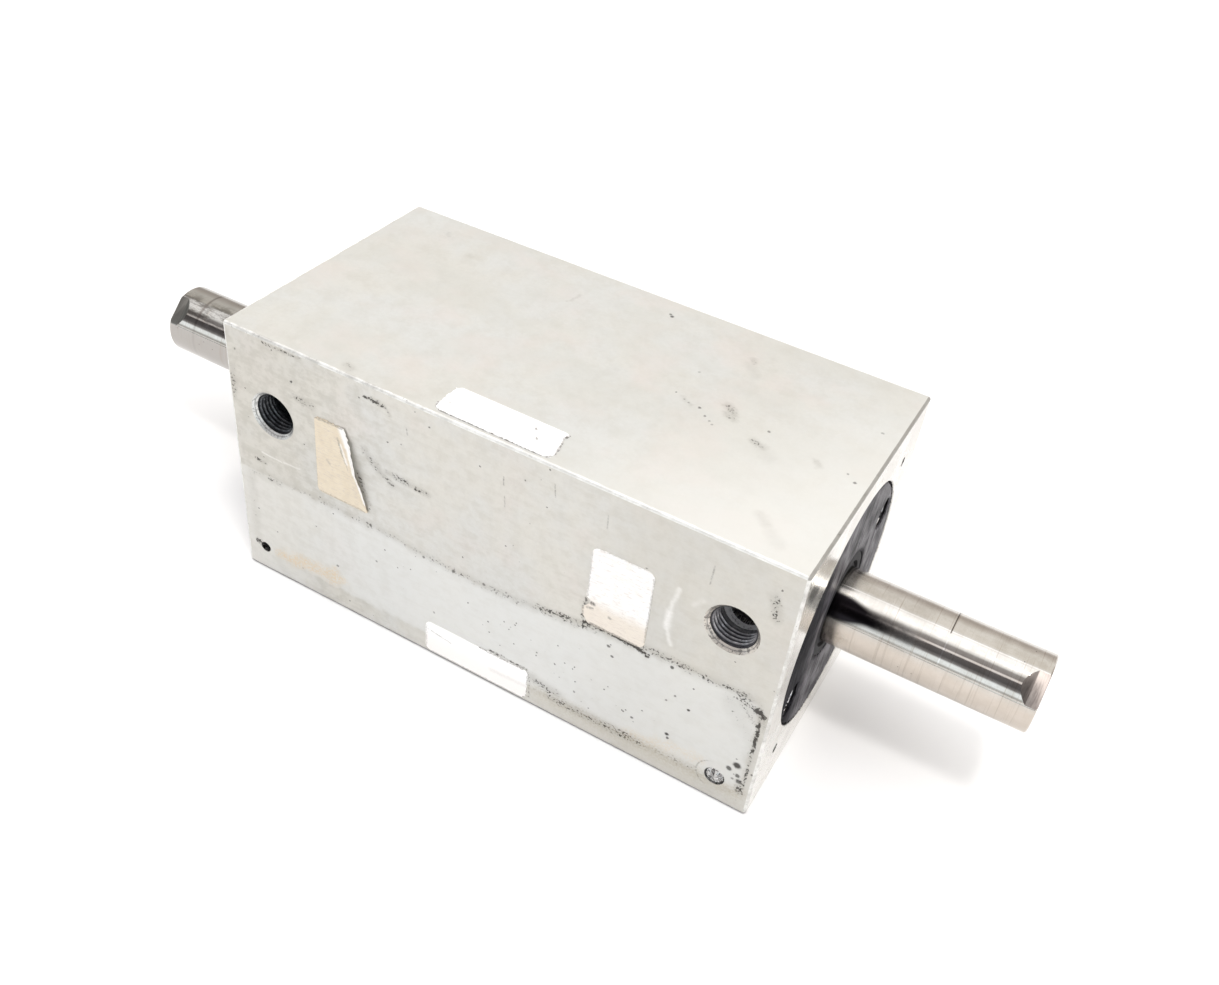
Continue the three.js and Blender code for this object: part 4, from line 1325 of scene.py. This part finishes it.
def polished_rod():
    """Hard-chromed steel: mirror bright, with rings and smears, a dull sooty stretch by the caps that
    is also darkened as painted shade, and a painted reflection band along its lower front.
    """
    nodes, point = material("polished rod")
    x, y, z = nodes.split(point)
    turn = nodes.math("ARCTAN2", y, z - AXIS_Z)
    around = nodes.join(x * 0.5, turn * 4.0)
    smear = nodes.noise(around, 0.5, detail=5.0, roughness=0.68)
    rings = nodes.noise(nodes.join(x * 2.6, turn * 0.35), 1.0, detail=4.0)
    dull = abs(x - ROD_MIDDLE).fade(83.5, 79)
    left = x.fade(-60, -64) * turn.fade(-1.0, -0.8)
    tone = nodes.mix(smear.fade(0.35, 0.65), CHROME_DARK, CHROME_LIGHT)
    # Dirty film and painted shade darken the stretch by the caps.
    tone = tone.mix(dull * 0.25, CHROME_FILM_AND_SHADE)
    # Painted reflection: a warm band along the rod's lower front, and a grey one on its left part.
    tone = tone.mix(turn.fade(-1.15, -1.5, 0.0, 0.5), ROD_PAINTED_REFLECTION)
    left_painted_reflection = x.fade(-60, -64) * turn.fade(-1.1, -1.35)
    tone = tone.mix(left_painted_reflection * 0.8, LEFT_PAINTED_REFLECTION)
    tone = tone.mix(left * 0.7, LEFT_CHROME)
    tone = tone.mix(rings.fade(0.54, 0.7) * 0.5, OIL_FILM)
    tone = left_marks(nodes, tone, x, turn, left)
    tone = soot_patch(tone, x, turn, smear)
    tone = right_ring(tone, x, turn, rings)
    specks = pits(nodes, around, 1.5, 0.09, 0.12) * 0.6
    tone = tone.mix(specks, ROD_SPECK)
    rough = smear.fade(0.35, 0.75, 0.04, 0.10) + dull * 0.10
    return nodes.finish(tone, rough, rings, 0.05, 0.00002, Metallic=1.0)


def milled_flat():
    """The wrench flats: plainly milled, with a band of painted shade on the slope where the cutter ran
    out.
    """
    nodes, point = material("milled flat")
    x = nodes.split(point)[0]
    from_end = ROD_HALF - abs(x - ROD_MIDDLE)
    cuts = nodes.noise(nodes.stretched(point, (5.0, 0.6, 0.6)), 1.0, detail=4.0)
    tone = nodes.mix(cuts.fade(0.35, 0.65), FLAT_DARK, FLAT_LIGHT)
    # Painted shade on the slope where the cutter ran out.
    run_out = from_end.fade(FLAT_LENGTH - 0.1, FLAT_LENGTH + 0.1)
    tone = tone.mix(run_out * 0.85, FLAT_RUN_OUT_SHADE)
    tone = tone.mix(x.fade(0, -1, 0.0, 0.85), LEFT_FLAT)
    return nodes.finish(tone, cuts.fade(0.3, 0.7, 0.38, 0.5), cuts, 0.2, 0.00004, Metallic=0.9)


def flat_tool(side, face_angle):
    """A prism that leaves a flat and its sloping run-out at one end of the rod."""
    over = 2
    slope = (ROD_RADIUS - FLAT_DISTANCE) / FLAT_RUN_OUT
    far = -FLAT_LENGTH - FLAT_RUN_OUT - over / slope
    outline = [
        (over, FLAT_DISTANCE),
        (over, ROD_RADIUS + over),
        (far, ROD_RADIUS + over),
        (-FLAT_LENGTH, FLAT_DISTANCE),
    ]
    wide = 2 * ROD_RADIUS
    end = ROD_HIGH.x if side > 0 else ROD_LOW.x
    place = Matrix.Translation((end, 0, AXIS_Z)) @ Matrix.Rotation(face_angle - math.pi / 2, 4, "X")
    vertices = []
    for across in (-wide, wide):
        vertices += [place @ Vector((side * x, across, height)) for x, height in outline]
    faces = [(0, 1, 2, 3), (7, 6, 5, 4)]
    faces += [(step, (step + 1) % 4, (step + 1) % 4 + 4, step + 4) for step in range(4)]
    return piece("tool", vertices, faces)


def rod_part(centre, normal):
    """Which of the rod's materials a face has: the rod's own, its tapped holes' or the flats'."""
    if math.hypot(centre.y, centre.z - AXIS_Z) < 5 and abs(normal.x) < 0.98:
        return 1
    from_end = ROD_HALF - abs(centre.x - ROD_MIDDLE)
    towards = math.cos(FLAT_ANGLES[0]) * normal.y + math.sin(FLAT_ANGLES[0]) * normal.z
    return 2 if from_end < FLAT_LENGTH + FLAT_RUN_OUT and abs(towards) > 0.9 else 0


def rod(looks):
    edge = 0.25
    low, high = RING_GROOVE
    right = [
        (low, ROD_RADIUS),
        (low, RING_GROOVE_RADIUS),
        (high, RING_GROOVE_RADIUS),
        (high, ROD_RADIUS),
        (ROD_HALF - edge, ROD_RADIUS),
        (ROD_HALF, ROD_RADIUS - edge),
        (ROD_HALF, 0),
    ]
    shaft = turned("polished_through_rod", shifted(mirrored(right) + right, ROD_MIDDLE))
    wall = thread(ROD_TAP_RADIUS, ROD_TAP_TOOTH, ROD_TAP_PITCH)
    tools = []
    for side in SIDES.values():
        end = ROD_HIGH.x if side > 0 else -ROD_LOW.x
        place = facing_end(side, end, 0, AXIS_Z)
        tools.append(hole_tool(wall, ROD_HOLE_DEPTH, ROD_HOLE_MOUTH, place, segments=48, rows=140))
        tools += [flat_tool(side, angle) for angle in FLAT_ANGLES]
    carve(shaft, tools)
    paint(shaft, [looks["rod"], looks["rod_hole"], looks["flat"]], rod_part)
    show(shaft, "rod", "rod_steel", "rod")


def retaining_rings(looks):
    """C-shaped spring rings, bevelled round their edges."""
    inner, outer = RING_RADII
    opening = RING_OPENING
    steps = RING_STEPS
    for side_name, side in SIDES.items():
        low = ROD_MIDDLE + side * RING_PLACE
        high = low + side * RING_THICKNESS
        vertices = []
        faces = []
        for step in range(steps + 1):
            angle = opening + (TURN - 2 * opening) * step / steps
            for x, radius in ((low, inner), (low, outer), (high, outer), (high, inner)):
                vertices.append((x, radius * math.sin(angle), AXIS_Z - radius * math.cos(angle)))
        for step in range(steps):
            first = 4 * step
            for corner in range(4):
                after = (corner + 1) % 4
                faces.append((first + corner, first + after, first + 4 + after, first + 4 + corner))
        faces.append((0, 1, 2, 3))
        faces.append(tuple(4 * steps + corner for corner in (3, 2, 1, 0)))
        ring = piece("fine_retaining_ring_" + side_name, vertices, faces)
        bevel = ring.modifiers.new("bevel", "BEVEL")
        bevel.width = RING_BEVEL * MM
        bevel.segments = 2
        bevel.limit_method = "ANGLE"
        show(ring, "rod", "spring_steel", "rod_retaining_ring_" + side_name, looks["spring"])


# ---- Screw and labels ---------------------------------------------------------------------------

PAPER_STREAK = (0.56, 0.49, 0.44)
PAPER_FIBRES = (0.93, 0.92, 0.90)
PAPER_DIRT = (0.09, 0.075, 0.06)
# The screw by its distance out from the front face.
SCREW_TOP = 0.35
HEAD_BACK = -1.0
SCREW_END = -6
HEAD_RADIUS = 1.9
SHANK_RADIUS = 1.1
BREAK_DEPTH = 1.3
FINE_BREAK_DEPTH = 0.25
# The paper's thickness, its wrinkles and the loops of its mesh by their share of the outline.
PAPER_THICKNESS = 0.13
WRINKLE_HEIGHT = 0.012
WRINKLE_SCALE = 0.35
PAPER_LOOPS = (0.25, 0.5, 0.7, 0.84, 0.93, 0.975, 0.995)
PAPER_ROUNDING = 0.35
PAPER_STEP = 0.3
# The two coordinates, of x, y and z, that run along the front face and the top face.
IN_FRONT = (0, 2)
ON_TOP = (0, 1)


def screw(looks):
    """The worn, broken head of a drive screw just out of its seat, with its shank in the hole."""
    shoulder = SCREW_TOP - 0.7
    outline = [
        (SCREW_END, 0),
        (SCREW_END, SHANK_RADIUS),
        (HEAD_BACK, SHANK_RADIUS),
        (HEAD_BACK, HEAD_RADIUS),
        (shoulder, HEAD_RADIUS),
        (SCREW_TOP - 0.3, HEAD_RADIUS * 0.84),
        (SCREW_TOP - 0.08, HEAD_RADIUS * 0.5),
        (SCREW_TOP, 0),
    ]
    vertices, faces = turned_mesh(filleted(outline, 0.25, 6), MEDIUM)
    placed = []
    for x, y, z in vertices:
        out, across, up = x, y, z - AXIS_Z
        if out > shoulder + 0.1:
            break_up = noise.noise(Vector((across * 1.3 + 7, up * 1.3, 3.0)))
            fine_break = noise.noise(Vector((across * 3, up * 3, 8.0)))
            out = min(out - BREAK_DEPTH * abs(break_up) - FINE_BREAK_DEPTH * abs(fine_break), SCREW_TOP)
        placed.append((SCREW_X + across, FRONT_Y - out, SMALL_HOLE_Z + up))
    made = piece("worn_drive_screw", placed, faces, 28)
    show(made, "housing", "plated_steel", "accessory_screw", looks["screw"])


def sheet(name, outline, lift, place):
    """A closed thin sheet over a star-shaped (u, v) outline, raised by lift(u, v) millimetres."""
    count = len(outline)
    middle = Vector((sum(u for u, _ in outline) / count, sum(v for _, v in outline) / count))
    vertices = []
    faces = []
    layers = []
    for level in (0, PAPER_THICKNESS):
        loops = []
        vertices.append(place(middle.x, middle.y, level + lift(middle.x, middle.y)))
        centre = len(vertices) - 1
        rim = 0.999 if level else 1.0
        for scale in (*PAPER_LOOPS, rim):
            first = len(vertices)
            sunk = PAPER_ROUNDING * PAPER_THICKNESS if level and scale == rim else 0
            for u, v in outline:
                here = middle + (Vector((u, v)) - middle) * scale
                vertices.append(place(here.x, here.y, level - sunk + lift(here.x, here.y)))
            loops.append(first)
        for step in range(count):
            after = (step + 1) % count
            faces.append((centre, loops[0] + step, loops[0] + after))
            for low, high in zip(loops, loops[1:]):
                faces.append((low + step, high + step, high + after, low + after))
        layers.append(loops[-1])
    low, high = layers
    for step in range(count):
        after = (step + 1) % count
        faces.append((low + step, low + after, high + after, high + step))
    return piece(name, vertices, faces, PAPER_SHARP_ANGLE)


def rounded_outline(width, height, radius, centre_u, centre_v, steps=8):
    """A rectangle with round corners, with enough points along its sides to wrinkle it."""
    points = []
    for index, (side_u, side_v) in enumerate([(1, 1), (-1, 1), (-1, -1), (1, -1)]):
        for step in range(steps + 1):
            angle = math.pi / 2 * (index + step / steps)
            u = side_u * (width / 2 - radius) + radius * math.cos(angle)
            v = side_v * (height / 2 - radius) + radius * math.sin(angle)
            points.append(Vector((centre_u + u, centre_v + v)))
    return subdivided(points, 0.5)


def subdivided(points, longest):
    dense = []
    for index, start in enumerate(points):
        end = points[(index + 1) % len(points)]
        parts = max(1, math.ceil((end - start).length / longest))
        dense += [start.lerp(end, part / parts) for part in range(parts)]
    return dense


def ragged_edge(points, amount, scale, chosen):
    """The outline with its chosen points pushed about, as torn paper is."""
    torn = []
    for point in points:
        if chosen(point):
            u = noise.noise(Vector((point.x * scale, point.y * scale, 1.7)))
            v = noise.noise(Vector((point.x * scale, point.y * scale, 9.2)))
            point = point + Vector((u, v)) * amount
        torn.append(point)
    return torn


def on_front(u, v, height):
    return (u, FRONT_Y - height, v)


def on_top(u, v, height):
    return (u, v, TOP_Z + height)


def wrinkle(u, v):
    place = Vector((u * WRINKLE_SCALE, v * WRINKLE_SCALE, 4.0))
    return WRINKLE_HEIGHT * noise.noise(place) + WRINKLE_HEIGHT


def paper(name, clean, dirty, dirt_from, strokes, plane, streaks=0.0, torn=None):
    """Paper in one plane: dirt_from is (axis, low, high) of a soiled part, torn its white fibres."""
    nodes, point = material(name)
    coordinates = nodes.split(point)
    flat = nodes.join(coordinates[plane[0]], coordinates[plane[1]])
    soft = nodes.noise(flat, 0.5, detail=4.0, roughness=0.6)
    fine = nodes.noise(flat, 2.4, detail=4.0, roughness=0.7)
    tone = nodes.mix(soft.fade(0.35, 0.7, 0.0, 0.25), clean, dirty)
    if dirt_from:
        axis, low, high = dirt_from
        edge = coordinates[axis] + (soft - 0.5) * 5.0
        tone = tone.mix(edge.fade(low, high, 0.85, 0.0), dirty)
    if streaks:
        worn = nodes.noise(nodes.stretched(flat, (0.5, 2.6, 1.0)), 1.0, detail=6.0, roughness=0.85)
        tone = tone.mix(worn.fade(0.5, 0.62, 0.0, streaks), PAPER_STREAK)
    if torn:
        tone = tone.mix(marks(nodes, wobbled(nodes, flat, 0.6, 1.5), torn, 0.6), PAPER_FIBRES)
    if strokes:
        dirt = marks(nodes, wobbled(nodes, flat, 0.7, 1.6), strokes, 0.8)
        dirt = dirt * fine.fade(0.35, 0.55, 0.3, 1.0)
        tone = tone.mix(dirt, PAPER_DIRT)
    rough = soft.fade(0.3, 0.7, 0.55, 0.75)
    return nodes.finish(tone, rough, fine, 0.15, 0.00005)


def front_sticker():
    width, height = 12.8, 19.2
    centre_u, centre_v = 29.4, 40.2
    outline = rounded_outline(width, height, 1.6, centre_u, centre_v)
    notch = Vector((centre_u - width / 2, 36.2))

    def notched(point):
        near = max(0, 1 - (point - notch).length / 1.3)
        below = max(0, 1 - abs(point.y - 33.4) / 2.2) if point.x < 24 else 0
        return point + Vector((1.0 * near - 0.8 * below, 0))

    outline = [notched(point) for point in outline]
    outline = ragged_edge(outline, 0.35, 1.1, lambda point: point.x < 24 and point.y < 40)
    made = sheet("worn_front_sticker", outline, wrinkle, on_front)
    strokes = [
        (23.2, 36.4, 24.6, 36, 0.35, 0.9), (23.4, 34.6, 24.4, 34.9, 0.25, 0.6),
        (28, 34.6, 28.3, 34.4, 0.25, 0.5), (24.2, 30.9, 34.6, 30.7, 0.3, 0.7),
        (23.1, 37.6, 23.1, 48.4, 0.16, 0.45), (35.7, 32.6, 35.7, 48.6, 0.16, 0.45),
        (24.6, 49.7, 34, 49.7, 0.12, 0.3), (22.4, 32, 22.4, 35, 0.25, 0.6),
    ]
    clean, dirty = (0.96, 0.95, 0.94), (0.78, 0.70, 0.60)
    look = paper("printed sticker", clean, dirty, (2, 34.5, 38.5), strokes, IN_FRONT, 0.5)
    show(made, "housing", "label_paper", "front_sticker", look)


def torn_sticker():
    outline_points = [
        (-40.6, 32.4),
        (-40.2, 31.5),
        (-39.4, 31.3),
        (-28.3, 31.3),
        (-27.7, 31.8),
        (-27.9, 33),
        (-31.6, 47.4),
        (-32.8, 50.4),
        (-39.6, 50.4),
        (-40.3, 49.8),
    ]
    outline = subdivided([Vector(point) for point in outline_points], PAPER_STEP)

    def on_torn_side(point):
        return point.x > -38 and point.y > 32.5

    outline = ragged_edge(outline, 0.5, 1.7, on_torn_side)

    def lift(u, v):
        along = (v - 32) / 17
        edge_u = -27.9 - 4.6 * along
        near = max(0, 1 - (edge_u - u) / 2.6)
        ripple = 1 + 0.5 * noise.noise(Vector((u * 0.6, v * 0.6, 2.0)))
        return wrinkle(u, v) + 0.8 * ripple * near * near * max(0, 1 - 1.4 * abs(along - 0.5))

    made = sheet("worn_torn_sticker", outline, lift, on_front)
    # The second and third strokes are painted shade in the fold of the curled edge; the rest are dirt.
    strokes = [
        (-40.3, 50.1, -33.4, 50.3, 0.25, 0.5), (-34.6, 47.2, -33.6, 43.4, 0.22, 0.5),
        (-33.6, 43.4, -32.4, 40.4, 0.14, 0.35), (-40.6, 33, -40.6, 49, 0.16, 0.35),
        (-40, 31.5, -28.6, 31.5, 0.2, 0.4), (-37.6, 40.5, -37, 40, 0.3, 0.3),
    ]
    torn = [
        (-33.2, 49.8, -31.8, 46.4, 1.0, 0.95), (-31.8, 46.4, -30.2, 40, 0.8, 0.95),
        (-30.2, 40, -28.3, 34, 0.45, 0.9), (-34, 46, -32.6, 42, 0.35, 0.6),
    ]
    clean, dirty = (0.755, 0.665, 0.52), (0.60, 0.49, 0.36)
    look = paper("aged sticker", clean, dirty, None, strokes, IN_FRONT, 0.6, torn)
    show(made, "housing", "aged_paper", "torn_sticker", look)


def bottom_label():
    outline = rounded_outline(25.4, 8.4, 1.4, -0.8, 5.1)
    made = sheet("worn_bottom_label", outline, wrinkle, on_front)
    strokes = [
        (-13.2, 2, -13.2, 8, 0.12, 0.5), (-13.4, 7.2, -7, 6.2, 0.12, 0.5),
        (3, 4.4, 11.4, 4.8, 0.5, 0.12), (0, 9.2, 10.6, 9.2, 0.14, 0.7),
        (11.8, 8, 11.8, 2, 0.1, 0.6), (11.4, 1.2, 11.6, 1.3, 0.3, 0.95),
        (-13, 1, 10.8, 1, 0.12, 0.4),
    ]
    clean, dirty = (1.0, 0.99, 0.975), (0.94, 0.90, 0.865)
    look = paper("bottom label", clean, dirty, (2, 3.5, 8), strokes, IN_FRONT)
    show(made, "housing", "label_paper", "bottom_label", look)


def top_label():
    outline_points = [
        (-13.2, -28.8),
        (-12.8, -29.9),
        (-11.6, -30.5),
        (10.2, -30.7),
        (11.4, -30.3),
        (12.1, -29.3),
        (12.1, -27.8),
        (11.3, -24.4),
        (11.7, -22.7),
        (10.6, -22.4),
        (-12.2, -22.2),
        (-13.1, -22.9),
        (-13.2, -26.6),
    ]
    outline = subdivided([Vector(point) for point in outline_points], PAPER_STEP)
    outline = ragged_edge(outline, 0.5, 1.4, lambda point: point.x > 11 or point.x < -12.6)
    made = sheet("worn_top_label", outline, wrinkle, on_top)
    strokes = [
        (-12.2, -30.5, 10.8, -30.8, 0.16, 0.85), (10.8, -30.8, 12.2, -29.6, 0.16, 0.8),
        (12.3, -29.4, 11.4, -24.6, 0.22, 0.85), (11.3, -24.2, 11.6, -22.7, 0.4, 0.9),
        (-12.9, -30.2, -13.2, -28.4, 0.25, 0.8), (-11.4, -27.6, -10.8, -26.8, 0.3, 0.4),
        (5.4, -24.6, 5.6, -24.8, 0.2, 0.9), (7, -27, 7.3, -27.2, 0.2, 0.9),
    ]
    clean, dirty = (0.95, 0.945, 0.94), (0.88, 0.86, 0.82)
    look = paper("top label", clean, dirty, None, strokes, ON_TOP)
    show(made, "housing", "label_paper", "top_label", look)


# ---- Studio -------------------------------------------------------------------------------------

CAMERA_PLACE = Vector((0.09217, -0.17620, 0.19400))
CAMERA_RIGHT = Vector((0.86508, 0.49198, 0.09790))
CAMERA_UP = Vector((-0.38088, 0.51721, 0.76644))
CAMERA_BACK = Vector((0.32644, -0.70032, 0.63481))
LENS = 35.67
SENSOR_WIDTH = 36
NEAREST = 0.01
FARTHEST = 20

LAMP_SIZE = (0.13, 0.11)
LAMP_ENERGY = 2.25
LAMP_COLOR = (1.0, 0.98, 0.95)
LAMP_PLACE = (0.27, -0.25, 0.95)

FLOOR_HALF = 3000
FLOOR_Z = -0.05
FLOOR_DARK = (0.955, 0.955, 0.96)
FLOOR_LIGHT = (0.97, 0.97, 0.975)

# Brightness and colour of the surroundings by their angle above the front horizon, in degrees.
SURROUNDINGS = [
    (0, (0.55, 0.57, 0.56)),
    (6, (0.70, 0.72, 0.72)),
    (10, (1.16, 1.24, 1.29)),
    (19, (1.16, 1.24, 1.29)),
    (23, (0.30, 0.29, 0.30)),
    (30, (0.12, 0.115, 0.12)),
    (43, (0.16, 0.15, 0.155)),
    (45, (1.10, 1.05, 1.05)),
    (48, (1.10, 1.05, 1.05)),
    (50, (0.35, 0.33, 0.33)),
    (60, (0.45, 0.43, 0.43)),
    (64, (1.10, 1.10, 1.10)),
    (70, (1.64, 1.64, 1.66)),
    (94, (1.64, 1.64, 1.66)),
    (102, (1.10, 1.09, 1.08)),
    (110, (0.98, 0.94, 0.88)),
    (138, (0.98, 0.95, 0.90)),
    (152, (0.75, 0.70, 0.65)),
    (168, (0.55, 0.50, 0.46)),
    (180, (0.80, 0.76, 0.72)),
]
HALF_CIRCLE = 180
WORLD_STRENGTH = 1.23


def studio_world():
    world = bpy.data.worlds.new("studio")
    bpy.context.scene.world = world
    world.use_nodes = True
    nodes = Shader(world.node_tree)
    direction = nodes.value("ShaderNodeTexCoord", "Generated")
    _, y, z = nodes.split(direction)
    angle = nodes.math("ARCTAN2", nodes.math("MAXIMUM", z, 0.0), y * -1.0)
    ramp = nodes.add("ShaderNodeValToRGB", {0: angle * (1 / math.pi)})
    stops = ramp.color_ramp.elements
    while len(stops) < len(SURROUNDINGS):
        stops.new(0.5)
    for stop, (degrees, color) in zip(stops, SURROUNDINGS):
        stop.position = degrees / HALF_CIRCLE
        stop.color = (*color, 1)
    inputs = {"Color": Value(nodes, ramp.outputs[0]), "Strength": WORLD_STRENGTH}
    background = nodes.value("ShaderNodeBackground", 0, inputs)
    nodes.add("ShaderNodeOutputWorld", {0: background})


def overhead_light():
    """A soft box above, a little to the front and the right."""
    light = bpy.data.lights.new("overhead", "AREA")
    light.shape = "RECTANGLE"
    light.size, light.size_y = LAMP_SIZE
    light.energy = LAMP_ENERGY
    light.color = LAMP_COLOR
    lamp = added("overhead", light)
    lamp.location = LAMP_PLACE
    towards = Vector((0, 0, AXIS_Z * MM)) - lamp.location
    lamp.rotation_euler = towards.to_track_quat("-Z", "Y").to_euler()


def floor():
    """A plain pale floor, a hair below the body's bottom."""
    around = [(-1, -1), (1, -1), (1, 1), (-1, 1)]
    corner_points = [(x * FLOOR_HALF, y * FLOOR_HALF, FLOOR_Z) for x, y in around]
    ground = piece("floor", corner_points, [(0, 1, 2, 3)])
    nodes, point = material("pale floor")
    speck = nodes.noise(point, 0.02)
    tone = nodes.mix(speck, FLOOR_DARK, FLOOR_LIGHT)
    ground.data.materials.append(nodes.finish(tone, 0.9))


def camera():
    view = bpy.data.cameras.new("camera")
    view.sensor_width = SENSOR_WIDTH
    view.lens = LENS
    view.clip_start = NEAREST
    view.clip_end = FARTHEST
    eye = added("camera", view)
    turn = Matrix((CAMERA_RIGHT, CAMERA_UP, CAMERA_BACK)).transposed().to_4x4()
    eye.matrix_world = Matrix.Translation(CAMERA_PLACE) @ turn
    bpy.context.scene.camera = eye


# ---- Assembly -----------------------------------------------------------------------------------


def shared_looks():
    return {
        "cap": black_anodised(),
        "cap_hole": cap_hole_wall(),
        "rubber": rubber("seal rubber", (0.008, 0.008, 0.009), 0.85, 0.1),
        "wiper": rubber("wiper rubber", (0.028, 0.028, 0.031), 0.7, 0.1),
        "urethane": rubber("seal urethane", (0.035, 0.05, 0.10), 0.5, 0.12),
        "tape": rubber("bearing tape", (0.13, 0.075, 0.045), 0.55, 0.1),
        "bronze": turned_metal("bushing bronze", (0.38, 0.22, 0.10), (0.55, 0.35, 0.17), 0.35),
        "piston": turned_metal("piston aluminium", (0.52, 0.51, 0.50), (0.70, 0.69, 0.67), 0.3),
        "spring": turned_metal("spring steel", (0.16, 0.16, 0.17), (0.28, 0.28, 0.29), 0.34),
        "screw": turned_metal("plated steel", (0.24, 0.235, 0.23), (0.74, 0.73, 0.72), 0.12),
        "rod": polished_rod(),
        "flat": milled_flat(),
        "rod_hole": hole_wall("rod thread", (0.30, 0.29, 0.28), (0.03, 0.028, 0.026), 0.1),
    }


def studio():
    bpy.context.scene.view_settings.view_transform = "Standard"
    camera()
    studio_world()
    overhead_light()
    floor()


def build():
    studio()
    looks = shared_looks()
    body()
    for side_name, side in SIDES.items():
        end_pieces(side_name, side, looks)
    piston_pieces(looks)
    rod(looks)
    retaining_rings(looks)
    screw(looks)
    front_sticker()
    torn_sticker()
    bottom_label()
    top_label()


build()
